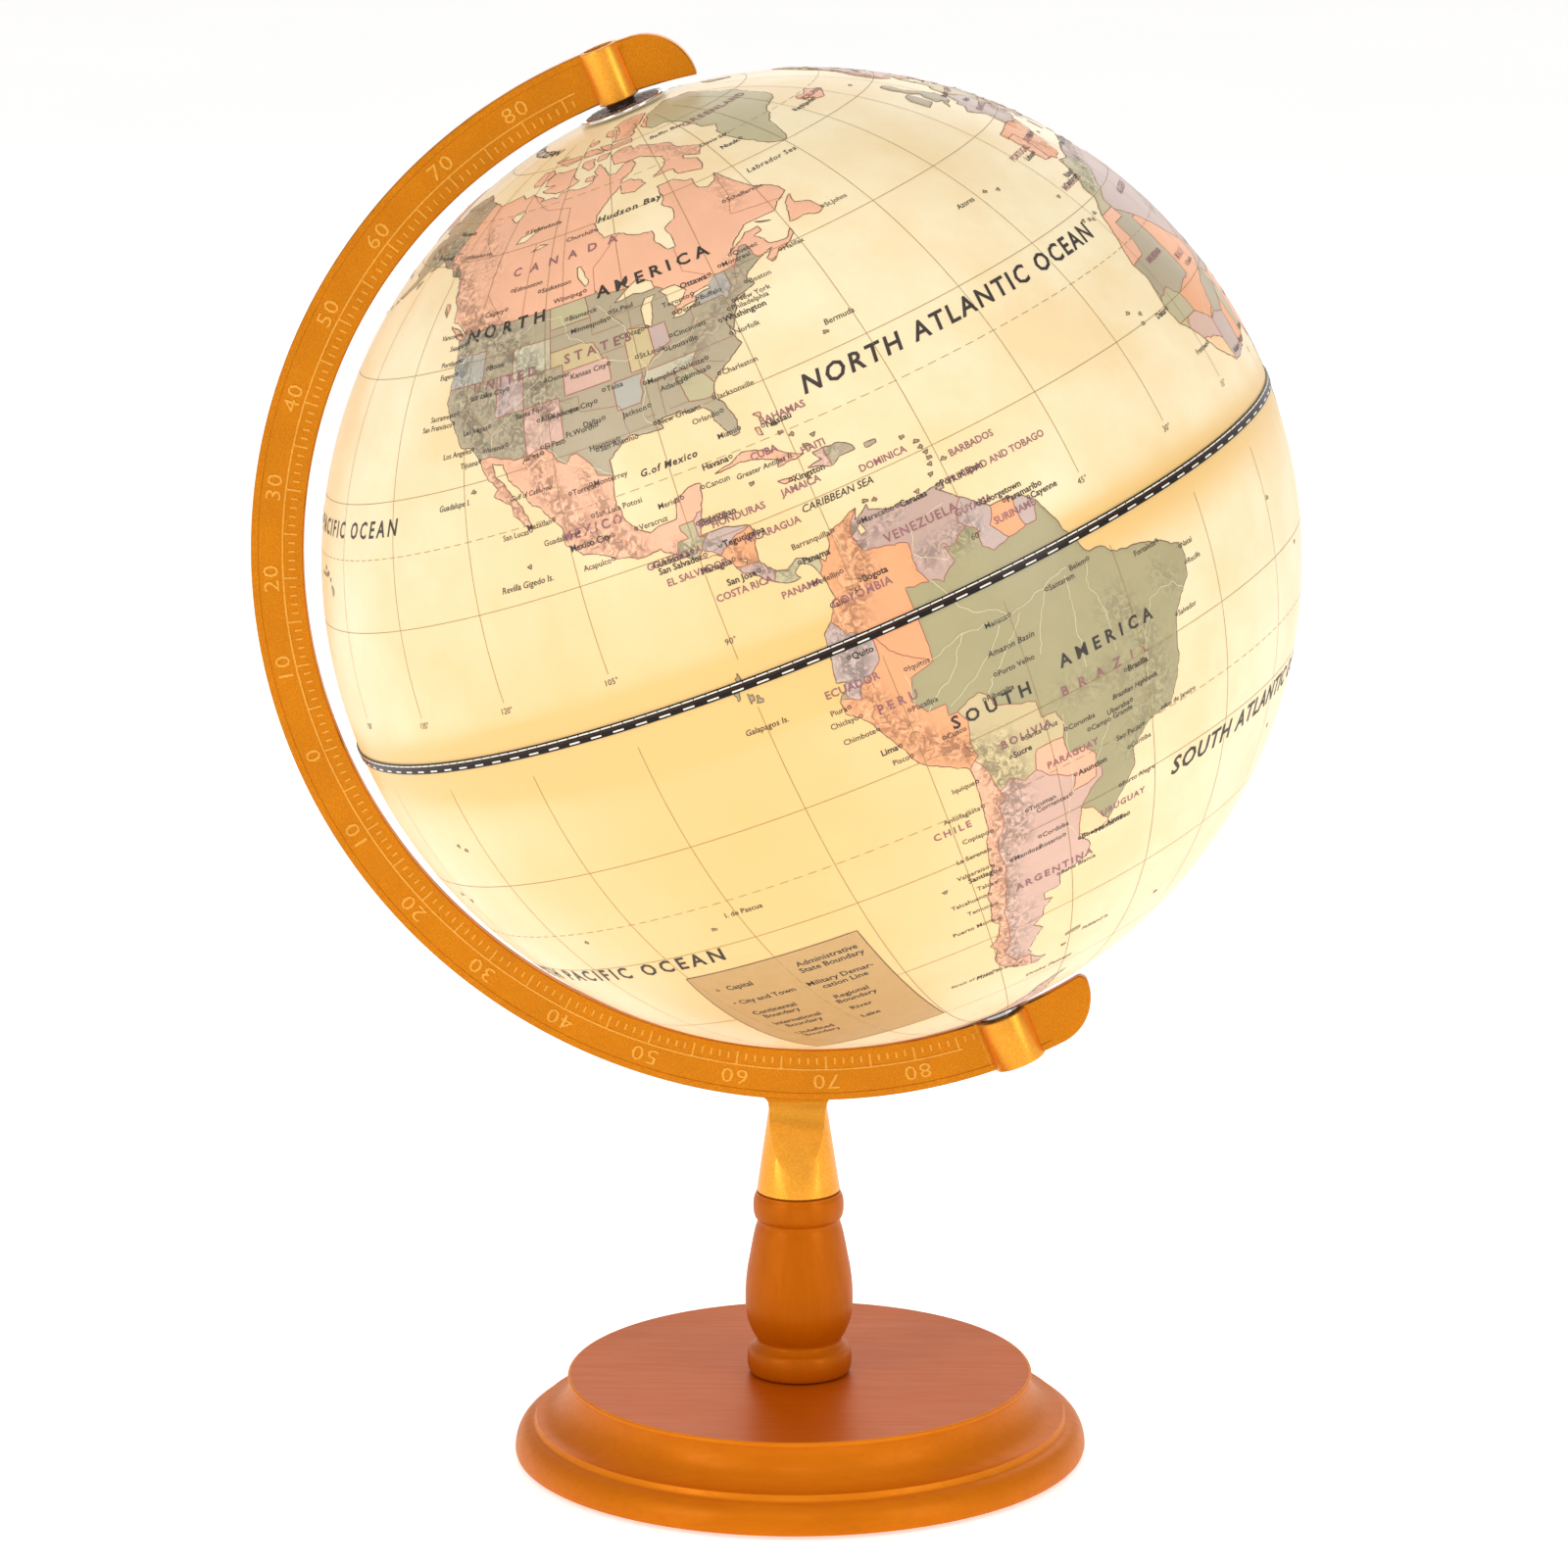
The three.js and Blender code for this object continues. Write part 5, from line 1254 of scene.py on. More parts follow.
def land_group(continents, lakes, countries, spacing):
    """Triangulates one part of the world, sorts its triangles by tint, and notes its coasts and borders."""
    shores = [roughened(p, 0.34) for p in continents]
    waters = [roughened(p, 0.2) for p in lakes]
    rows = [row.split(":") for row in listed(countries)]
    tints = [tint for tint, _ in rows]
    regions = [roughened(outline(text), 0.3) for _, text in rows]
    for loops, is_land in ((shores, True), (waters, False)):
        for loop in loops:
            LAND_OUTLINES.append((np.array(loop), np.min(loop, 0), np.max(loop, 0), is_land))
    grid = []
    lows, highs = np.array(sum(shores, [])).min(0), np.array(sum(shores, [])).max(0)
    lat, row = lows[1], 0
    while lat < highs[1]:
        step = spacing / max(0.12, math.cos(math.radians(lat)))
        start = lows[0] + (row % 2) * step / 2
        grid += [(lon, lat) for lon in np.arange(start, highs[0], step)]
        lat += spacing * 0.87
        row += 1
    grid = np.array(grid)
    kept = np.zeros(len(grid), bool)
    for shore in shores:
        kept |= inside(grid, shore)
    numbers, edges = {}, set()
    for spot in grid[kept]:
        numbers[tuple(round(x, 4) for x in spot)] = len(numbers)
    for loop in [*shores, *waters, *regions]:
        ids = [numbers.setdefault((round(x, 4), round(y, 4)), len(numbers)) for x, y in loop]
        edges.update((min(a, b), max(a, b)) for a, b in zip(ids, ids[1:] + ids[:1]) if a != b)
    made = delaunay_2d_cdt([Vector(p) for p in numbers], sorted(edges), [], 0, 1e-6, False)
    corners, triangles = made[0], made[2]
    middles = np.array([[sum(corners[i][axis] for i in face) / 3 for axis in (0, 1)] for face in triangles])
    dry = np.zeros(len(middles), bool)
    for shore in shores:
        dry |= inside(middles, shore)
    for water in waters:
        dry &= ~inside(middles, water)
    holders = np.full(len(middles), len(rows) - 1)
    for number in range(len(rows) - 1, -1, -1):
        holders[inside(middles, regions[number])] = number
    holders = [int(x) for x in np.where(dry, holders, -1)]
    lon = [c.x for c in corners]
    lat = [c.y for c in corners]
    heights, share = relief(lon, lat)
    edges = {}
    for triangle, holder in zip(triangles, holders):
        for a, b in zip(triangle, triangle[1:] + triangle[:1]):
            edges.setdefault((min(a, b), max(a, b)), []).append(holder)
    on_coast = set()
    segments = {"coast": [], "border": []}
    for (a, b), sides in edges.items():
        if len(sides) == 1:
            sides = [*sides, -1]
        if sides[0] == sides[1]:
            continue
        kind = "coast" if -1 in sides else "border"
        segments[kind].append((a, b))
        if kind == "coast":
            on_coast.update((a, b))
    rises = [COAST_RISE if i in on_coast else LAND_RISE + heights[i] for i in range(len(corners))]
    places = [on_globe(x, globe_latitude(y), rise) for x, y, rise in zip(lon, lat, rises)]
    for kind, found in segments.items():
        LINES[kind].append((places, found))
    for triangle, holder in zip(triangles, holders):
        if holder < 0:
            continue
        patch = GLOBE_PARTS.setdefault(tints[holder], {"points": [], "faces": [], "share": [], "index": {}})
        face = []
        for i in triangle:
            key = (id(places), i)
            if key not in patch["index"]:
                patch["index"][key] = len(patch["points"])
                patch["points"].append(places[i])
                patch["share"].append(share[i])
            face.append(patch["index"][key])
        patch["faces"].append(face)


def rise_over(lon, lat, extra):
    """Rises that clear the land and its mountains at each place."""
    spots = np.column_stack([lon, lat])
    dry = np.zeros(len(spots), bool)
    lows, highs = spots.min(0), spots.max(0)
    for loop, low, high, is_land in LAND_OUTLINES:
        if (high < lows).any() or (low > highs).any():
            continue
        hit = inside(spots, loop)
        dry = dry | hit if is_land else dry & ~hit
    heights, _ = relief(list(lon), list(lat))
    return np.where(dry, LAND_RISE + heights, 0.0) + extra


def ribbon(shape, places, width):
    """A narrow flat strip along a line of points near the globe."""
    spots = [Vector(p) for p in places]
    points = []
    for i, here in enumerate(spots):
        along = spots[min(i + 1, len(spots) - 1)] - spots[max(i - 1, 0)]
        side = along.cross(here).normalized() * width / 2
        points += [here - side, here + side]
    faces = [[2 * i, 2 * i + 1, 2 * i + 3, 2 * i + 2] for i in range(len(spots) - 1)]
    shape.add(points, faces, AXIS_FRAME)


def draped(shape, line, width, extra, step=0.5, rough=0.0):
    """A ribbon that lies over sea and land along a line of printed longitudes and latitudes."""
    if rough:
        line = roughened(line, rough, closed=False)
    fine = []
    for (ax, ay), (bx, by) in zip(line, line[1:]):
        steps = max(1, math.ceil(math.hypot(bx - ax, by - ay) / step))
        fine += [(ax + (bx - ax) * i / steps, ay + (by - ay) * i / steps) for i in range(steps)]
    fine.append(line[-1])
    lon, lat = [p[0] for p in fine], [p[1] for p in fine]
    rises = rise_over(lon, lat, extra)
    ribbon(shape, [on_globe(x, globe_latitude(y), r) for x, y, r in zip(lon, lat, rises)], width)


def edge_ribbons(shape, places, segments, width, extra):
    """Ribbons over mesh edges, with mitred joints where a line runs through a point."""
    touching = {}
    for a, b in segments:
        touching.setdefault(a, []).append(b)
        touching.setdefault(b, []).append(a)
    points, faces = [], []
    for a, b in segments:
        start, end = Vector(places[a]), Vector(places[b])
        along = (end - start).normalized()
        corners = []
        for here, spot, other in ((a, start, b), (b, end, a)):
            direction = along
            if len(touching[here]) == 2:
                beyond = [i for i in touching[here] if i != other]
                if beyond:
                    next_way = (spot - Vector(places[beyond[0]])).normalized()
                    if next_way.dot(along) < 0:
                        next_way = -next_way
                    direction = (along + next_way).normalized()
            side = direction.cross(spot).normalized() * width / 2
            up = spot.normalized() * extra
            corners += [spot - side + up, spot + side + up]
        base = len(points)
        points += corners
        faces.append([base, base + 1, base + 3, base + 2])
    shape.add(points, faces, AXIS_FRAME)


MAP_TINTS = {
    "salmon": colour(240, 180, 144),
    "orange": colour(236, 164, 114),
    "olive": colour(178, 162, 132),
    "fern": colour(168, 156, 114),
    "sage": colour(190, 178, 138),
    "mauve": colour(196, 170, 158),
    "rose": colour(214, 174, 154),
    "brown": colour(194, 162, 146),
    "peach": colour(246, 204, 150),
    "sand": colour(206, 184, 136),
    "mist": colour(180, 174, 160),
    "pale": colour(200, 190, 160),
}


def map_paint(name, tint):
    """Antique map print on an embossed plastic shell, lit through from inside, with painted shade and painted
    highlights over the mountains.
    """
    finish = Finish(name, Roughness=0.42, Coat_Weight=0.12, Coat_Roughness=0.3, Emission_Strength=LAND_GLOW)
    where = finish.place()
    mottle = finish.noise(where, 0.05, 4, 0.6)
    paper = finish.noise(where, 0.9, 3, 0.6)
    shade = shaded(tint, 0.86)
    tone = finish.mix(finish.ramp(mottle, (0.35, 0.55), (0.65, 0)), tint, shade)
    tone = finish.mix(finish.ramp(paper, (0.35, 0.1), (0.6, 0)), tone, shade)
    share = finish.node("Attribute", {"attribute_name": "mountain"}).outputs["Fac"]
    streaks = finish.noise(finish.place((1, 1, 1), (0.3, 0.2, 0.5)), 0.36, 8, 0.64, 1.4)
    # The dark streaks are the printed hill shading together with painted shade in the valleys of the
    # embossing. The light streaks are a painted highlight on its slopes.
    valley_print_and_shade = finish.product(finish.ramp(streaks, (0.46, 0), (0.56, 0.9)), share)
    slope_painted_highlight = finish.product(finish.ramp(streaks, (0.34, 0.75), (0.46, 0)), share)
    tone = finish.mix(valley_print_and_shade, tone, shaded(tint, 0.44))
    tone = finish.mix(slope_painted_highlight, tone, shaded(tint, 1.3, 0.06))
    finish.bump(finish.product(streaks, share), 0.8, 0.8)
    finish.set(finish.shader, Base_Color=tone, Emission_Color=tone)
    return finish.material


OCEAN = colour(242, 226, 188)
# A warmer cream: the random mottle of the print, and the painted glow of the lamp inside.
OCEAN_MOTTLE_AND_GLOW_TINT = colour(226, 184, 112)
SCUFFED = colour(226, 196, 128)
OCEAN_GLOW = 0.14
LAND_GLOW = OCEAN_GLOW * 0.8


def ocean_paint():
    """Cream print on the smooth sea, with a painted warm glow from the lamp inside: along the tape and over a
    patch below and left of the front.
    """
    finish = Finish("ocean_paint", Roughness=0.4, Coat_Weight=0.15, Coat_Roughness=0.28)
    where = finish.place()
    mottle = finish.noise(where, 0.03, 4, 0.55)
    paper = finish.noise(where, 0.8, 3, 0.6)
    scuff = finish.noise(finish.place((1, 1, 1), (0.4, 0.9, 0.2)), 0.11, 6, 0.7, 2.0)
    # painted lamp glow: the attribute makes the cream warmer along the tape and low on the front
    warm = finish.node("Attribute", {"attribute_name": "painted_lamp_glow"}).outputs["Fac"]
    tone = finish.mix(warm, OCEAN, OCEAN_MOTTLE_AND_GLOW_TINT)
    tone = finish.mix(finish.ramp(mottle, (0.35, 0.4), (0.65, 0)), tone, OCEAN_MOTTLE_AND_GLOW_TINT)
    tone = finish.mix(finish.ramp(scuff, (0.6, 0), (0.72, 0.14)), tone, SCUFFED)
    tone = finish.mix(finish.ramp(paper, (0.3, 0.06), (0.55, 0)), tone, SCUFFED)
    finish.set(finish.shader, Base_Color=tone, Emission_Color=tone, Emission_Strength=OCEAN_GLOW)
    finish.bump(finish.noise(where, 0.12, 4, 0.6), 0.12, 0.35)
    return finish.material


def ink(name, tint, glow, wear=1.0):
    """Flat print that has faded here and there."""
    finish = Finish(name, Roughness=0.5, Emission_Strength=glow)
    fade = finish.noise(finish.place(), 0.25, 3, 0.6)
    tone = finish.mix(finish.ramp(fade, (0.35, 0.35 * wear), (0.65, 0)), tint, shaded(tint, 1.6, 0.03))
    finish.set(finish.shader, Base_Color=tone, Emission_Color=tone)
    return finish.material


LINE_INK = ink("line_ink", colour(150, 122, 74), 0.1)
COAST_INK = ink("coast_ink", colour(112, 82, 60), 0.05)
BORDER_INK = ink("border_ink", colour(158, 98, 74), 0.05)
RIVER_INK = ink("river_ink", colour(222, 208, 168), 0.1)
BLACK_INK = ink("black_ink", colour(52, 42, 34), 0.0)
MAUVE_INK = ink("mauve_ink", colour(142, 92, 92), 0.05)
LEGEND_INK = ink("legend_ink", colour(194, 156, 102), 0.08, 0.25)


def add_attribute(made, name, values):
    """Keeps a number for each point, for the material to read."""
    layer = made.data.attributes.new(name, "FLOAT", "POINT")
    layer.data.foreach_set("value", np.array(values, np.float32))


def ocean_half(side):
    """One half of the globe's shell, from its pole hole to just short of the seam."""
    half, pole_hole = ("north", NORTH_HOLE) if side > 0 else ("south", SOUTH_HOLE)
    top = 90 - math.degrees(math.asin(pole_hole / GLOBE_RADIUS))
    rows, columns = 90, 288
    points, painted_lamp_glow = [], []
    for layer in (0, 1):
        for row in range(rows + 1):
            lat = side * (FIRST_LATITUDE + (top - FIRST_LATITUDE) * row / rows)
            for column in range(columns):
                lon = column * 360 / columns
                points.append(on_globe(lon, lat, -SHELL_WALL * layer))
                # painted lamp glow: a warm band beside the tape, and a warm patch below and left of the front
                glow = math.exp(-((abs(lat) - 0.8) / (2.4 if side > 0 else 4.2)) ** 2)
                away = math.hypot((lon - 260 + 180) % 360 - 180, lat + 20) / 48
                painted_lamp_glow.append(min(1.0, 0.9 * glow + 0.95 * math.exp(-away * away)))
    faces = []
    skin = (rows + 1) * columns
    for column in range(columns):
        after = (column + 1) % columns
        for row in range(rows):
            a, b = row * columns + column, row * columns + after
            quad = [a, b, b + columns, a + columns]
            lining = [skin + i for i in quad[::-1]]
            faces += [quad if side > 0 else quad[::-1], lining if side > 0 else lining[::-1]]
        for base in (0, rows * columns):
            rim = [base + column, base + after, skin + base + after, skin + base + column]
            turned_in = (base > 0) == (side > 0)
            faces.append(rim if turned_in else rim[::-1])
    shape = Shape().add(points, faces, AXIS_FRAME)
    made = shape.build("globe_ocean_" + half, OCEAN_PAINT, merge=False)
    add_attribute(made, "painted_lamp_glow", painted_lamp_glow)
    finish_piece(made, "globe", "map_print", "globe_" + half)


OCEAN_PAINT = ocean_paint()
ocean_half(1)
ocean_half(-1)

islets = [islet(centre, i) for i, centre in enumerate(SMALL_ISLANDS)]
west = [p for p in islets if p[0][0] < -27]
east = [p for p in islets if p[0][0] >= -27]
land_group([AMERICAS, *AMERICAN_ISLANDS, *west], AMERICAN_LAKES, AMERICAN_COUNTRIES, 0.42)
land_group([OLD_WORLD, *OLD_WORLD_ISLANDS, *east], OLD_WORLD_LAKES, OLD_WORLD_COUNTRIES, 0.55)
land_group([ANTARCTICA], [], "rose:-181 -60,181 -60,181 -85,-181 -85", 0.8)


def land_pieces():
    """One piece for each tint of the map."""
    for tint, patch in GLOBE_PARTS.items():
        paint = map_paint("map_" + tint, MAP_TINTS[tint])
        shape = Shape().add(patch["points"], patch["faces"], AXIS_FRAME)
        made = shape.build("land_" + tint, paint, merge=False, smooth_angle=60)
        add_attribute(made, "mountain", np.clip(np.array(patch["share"]) * 1.3, 0, 1))
        finish_piece(made, "globe", "map_print")


def coast_and_border_lines():
    for kind, width, rise, paint in (("coast", 0.34, 0.05, COAST_INK), ("border", 0.3, 0.06, BORDER_INK)):
        shape = Shape()
        for places, segments in LINES[kind]:
            edge_ribbons(shape, places, segments, width, rise)
        made = shape.build(kind + "_lines", paint, merge=False)
        finish_piece(made, "globe", "map_print")


STATE_LINES = """
-123.5 46.2,-119 45.9,-117 46;-120 42,-120 39,-114.6 35;-117 49,-117 42;-116 49,-116 48,-114.5 45.5,
-111 44.5,-111 45,-104 45;-124 42,-111 42;-109 41,-102 41,-102 37;-104 43,-104 41;-114 37,-103 37;-103 36.5,
-100 36.5,-100 34.5,-94.4 33.6,-94 33,-94 31,-93.7 29.8;-104 46,-104 45;-94 33,-91.2 33,-91.2 31,-89.7 31
-96.5 46,-96.5 43.5,-91.2 43.5;-95.7 40.6,-91.5 40.6;-90.6 42.5,-87.8 42.5;-94.6 36.5,-94.6 33.6;-80.5 42,
-80.5 39.7,-75.8 39.7;-81.7 36.5,-75.9 36.5;-88.2 35,-88.4 30.4;-87.6 31,-85 31;-83.1 35,-80.8 34.8,
-78.6 33.9;-82 37.5,-79.5 38.5,-77.8 39.3;-82.6 38.5,-81.7 39,-80.6 40.6;-73.5 42,-71.8 42;-71.5 45,
-72.4 42.7;-71 45.3,-70.8 43.1;-92.8 46.6,-92.7 45,-91.2 43.5;-120 60,-120 54,-114.1 49;-139 60,-94.8 60
-110 60,-110 49;-102 60,-101.4 49;-95.2 49,-95.2 52.8,-89 56.9;-124 60,-132.5 65,-136.5 68.9;-102 60,
-102 64.5,-110 65.5,-121 70;-79.5 51.4,-79.5 47.3,-76 45.5,-74.4 45;-64.5 60.3,-65.5 55,-67.3 52.5,-57 51.5
"""
RIVERS = """
-95.2 47.2,-93 45,-91 43,-90.2 38.8,-89.2 37,-90 35,-91.2 32.5,-91 30.5,-89.4 29.3;-111 46,-107 48,
-102 47.5,-100.5 44,-97 42.5,-95.8 40,-92 38.6,-90.2 38.8;-80 40.5,-82 38.7,-85.7 38.3,-89.1 37;-106 37.5,
-106.5 32,-103 29,-99.5 27.5,-97.2 26;-106 40,-110 38,-112 36.2,-114.7 35,-114.7 32.5;-117 50,-119 48,
-119 46,-123.5 46.2;-117 61.3,-123 62.5,-128 66,-134 68.5;-135 61,-141 65,-148 65.5,-157 64.8,-163.5 62.8
-76.4 44.2,-73.5 45.6,-71 47;-73.5 -4,-70 -4,-66 -2.7,-60 -3.2,-55 -2.2,-51.5 -1.2;-74 -10,-73.5 -4.4
-65.4 -10.5,-63.5 -8.5,-60 -5,-58.7 -3.4;-70 -10,-66 -8,-62.5 -5,-61.5 -3.7;-72.5 -9.5,-68 -6,-65.7 -2.6
-67 1.2,-65 -0.5,-61 -2,-60 -3.1;-58 -9,-57 -6,-55 -2.5;-53 -13,-52.5 -7,-52 -2;-48.5 -13,-48.5 -8,-49.5 -4,
-48.8 -1.8;-45 -19,-44 -13,-42 -9.5,-38 -9,-36.5 -10.4;-51 -20,-54.5 -25,-58.5 -27.3,-60 -31.5,-58.5 -34
-57.5 -17,-57.8 -22,-58.5 -27.3;-64 2.5,-67.5 5,-66 8,-62 8.6;-75.5 3,-74 7,-74.8 10.8;32 -1,31.5 4,
32.5 15.5,32 20,31 25,31 30.8;26 -8,25.5 0.5,20 1.8,16 -3.5,12.7 -6;-10 10,-3 16.8,1 16,4 11,6.5 8,6.3 4.6
37 57.5,49 56,45 49,48 46.2;84 52,80 58,68 61,67 66.5;94 52,92 58,88 65,83 70;107 54,120 60.3,129.5 62,
125 68,127 72.5;97 33,100 26.5,106.5 29.5,112 30.2,121 31.7;96 35,104 37,107 40.7,111 40,110.5 35,118 37.3
78 30,83 25.5,88 24.5,90.5 22.5;80 32,73 35.5,71 31,67.7 24.3;9 48.3,17 48,19 45.5,28.5 45.3;23 -12,
25 -17.8,30 -15.7,36 -18.5;148 -36,141 -34.2,139 -35.3;117 50,127 50,131 47.8,135 48.4,140 53;98 32,100 22,
105 15,106 10.3
"""


def drawn_lines():
    """State lines, rivers, and the lines of longitude and latitude."""
    states, rivers, grid = Shape(), Shape(), Shape()
    for text in listed(STATE_LINES):
        draped(states, outline(text), 0.16, 0.07, rough=0.12)
    for text in listed(RIVERS):
        draped(rivers, outline(text), 0.15, 0.08, rough=0.45)
    lines = []
    for lon in range(-180, 180, 15):
        lines += [[(lon, 4.6 if lon % 90 else 1.4), (lon, 80)], [(lon, -80), (lon, -1.4)]]
    for lat in (-75, -60, -45, -30, -15, 15, 30, 45, 60, 75):
        lines.append([(-180, lat), (180, lat)])
    for lat in (-66.5, -23.45, 23.45, 66.5):
        dash = 1.1 / math.cos(math.radians(lat))
        for i in range(int(360 / (dash * 1.6))):
            lon = -180 + i * dash * 1.6
            lines.append([(lon, lat), (lon + dash, lat)])
    for line in lines:
        draped(grid, line, LINE_WIDTH, LINE_RISE, 1.0)
    for shape, name, paint in ((states, "state_lines", BORDER_INK), (rivers, "river_lines", RIVER_INK),
                               (grid, "graticule_lines", LINE_INK)):
        finish_piece(shape.build(name, paint, merge=False), "globe", "map_print")


land_pieces()
coast_and_border_lines()
drawn_lines()

# ---------------------------------------------------------------- lettering on the map

MM_PER_DEGREE = math.radians(1) * GLOBE_RADIUS


def lay_on_globe(shape, mesh, lon, lat, extra=0.1):
    """Bends a flat mesh onto the globe, with its X along the parallel at a printed place."""
    middle = globe_latitude(lat)
    shrink = math.cos(math.radians(middle))
    places = []
    for vertex in mesh.vertices:
        across, up = vertex.co.x / MM_PER_DEGREE, vertex.co.y / MM_PER_DEGREE
        places.append((lon + across / shrink, middle + up))
    printed = [math.copysign(max(0.0, abs(p[1]) - SEAM_OFFSET) / PRINT_SCALE, p[1]) for p in places]
    rises = rise_over([p[0] for p in places], printed, extra)
    points = [on_globe(x, y, r) for (x, y), r in zip(places, rises)]
    shape.add(points, [list(f.vertices) for f in mesh.polygons], AXIS_FRAME)


def word(shape, body, lon, lat, cap, width=None, shear=0.0, weight=0.0, align=0):
    """Prints a word. Width spreads its letters out to that many millimetres; align moves it sideways."""
    spacing = 1.0
    if width:
        natural = span(text_mesh(body, cap, shear=shear, weight=weight))
        wide = span(text_mesh(body, cap, shear=shear, weight=weight, spacing=2.0))
        spacing = 1 + (width - natural) / max(1e-6, wide - natural)
    mesh = text_mesh(body, cap, shear=shear, weight=weight, spacing=spacing)
    if align:
        mesh.transform(Matrix.Translation((align * (span_of(mesh) / 2 + 0.9), 0, 0)))
    lay_on_globe(shape, mesh, lon, lat)
    bpy.data.meshes.remove(mesh)


def span_of(mesh):
    across = [v.co.x for v in mesh.vertices]
    return max(across) - min(across)


def span(mesh):
    """How wide a word comes out; the word itself is thrown away."""
    width = span_of(mesh)
    bpy.data.meshes.remove(mesh)
    return width


# Text, longitude, latitude, height of capitals, width in mm (0 as set), slant, weight.
LARGE_NAMES = """
NORTH ATLANTIC OCEAN -45 27.6 6 122 0.25 0.03;SOUTH ATLANTIC OCEAN -17 -31.8 6 112 0.25 0.03
NORTH PACIFIC OCEAN -158 27 5.2 112 0.25 0.026;SOUTH PACIFIC OCEAN -137 -31.2 5.6 116 0.25 0.03
INDIAN OCEAN 80 -20 6 80 0.25 0.03;ARCTIC OCEAN -160 79 3.6 30 0.25 0.026
CARIBBEAN SEA -72.6 14.4 2.3 22.5 0.25 0.01;G.of Mexico -90 25 2.2 18 0.25 0.03
Hudson Bay -86 60.4 2.6 21 0.25 0.03;Baffin Bay -66 73.5 2 11 0.25 0.01
Davis Str. -57 66.5 1.9 10 0.25 0.01;Greater Antilles Is. -79 20.6 1.7 0 0.2 0.01
Galapagos Is. -90 -3.9 1.9 0 0.2 0.01;Bermuda -62 33.4 2 0 0.2 0.01;Azores -33 38.6 2 0 0.2 0.01
Gulf of California -109 27 1.6 0 0.2 0.01;I. de Pascua -104 -25.5 2 0 0.2 0.01
Revilla Gigedo Is. -112 17 2 0 0.2 0.01;Guadalupe I. -122 28 1.9 0 0.2 0.01
Labrador Sea -52 58 2.2 18 0.25 0.01;Bering Sea -175 58 2.6 18 0.25 0.01
Sea of Japan 134 40 1.9 0 0.25 0.01;Arabian Sea 64 15 2.4 20 0.25 0.01;Bay of Bengal 88 14 2.2 16 0.25 0.01
Coral Sea 153 -17 2.4 18 0.25 0.01;Tasman Sea 160 -38 2.4 20 0.25 0.01
PHILIPPINE SEA 133 18 2.4 24 0.25 0.01;Mediterranean Sea 18 35 1.9 24 0.25 0.01
Great Australian Bight 130 -34 1.6 0 0.25 0.01;Amazon Basin -61 -6.3 1.9 16 0.25 0.01
Brazilian Highlands -47 -18.2 1.7 0 0.25 0.01;Falkland Is. -54 -52.6 1.7 0 0.2 0.01
Drake Passage -64 -58.5 2 16 0.25 0.01;Strait of Magellan -80 -52.8 1.7 0 0.25 0.01
NORTH -113.5 48.5 4.3 29 0 0.036;AMERICA -84.5 49 4.3 36 0 0.036;SOUTH -65.5 -12 4.1 26 0 0.034
AMERICA -49.2 -10.9 4.1 36 0 0.034;AFRICA 21 14 5 62 0 0.025;EUROPE 26 54.5 4.2 36 0 0.025
ASIA 97 54.5 5 56 0 0.028;AUSTRALIA 134 -23.5 4 56 0 0.025;ANTARCTICA 60 -75 3.2 30 0 0.02
"""
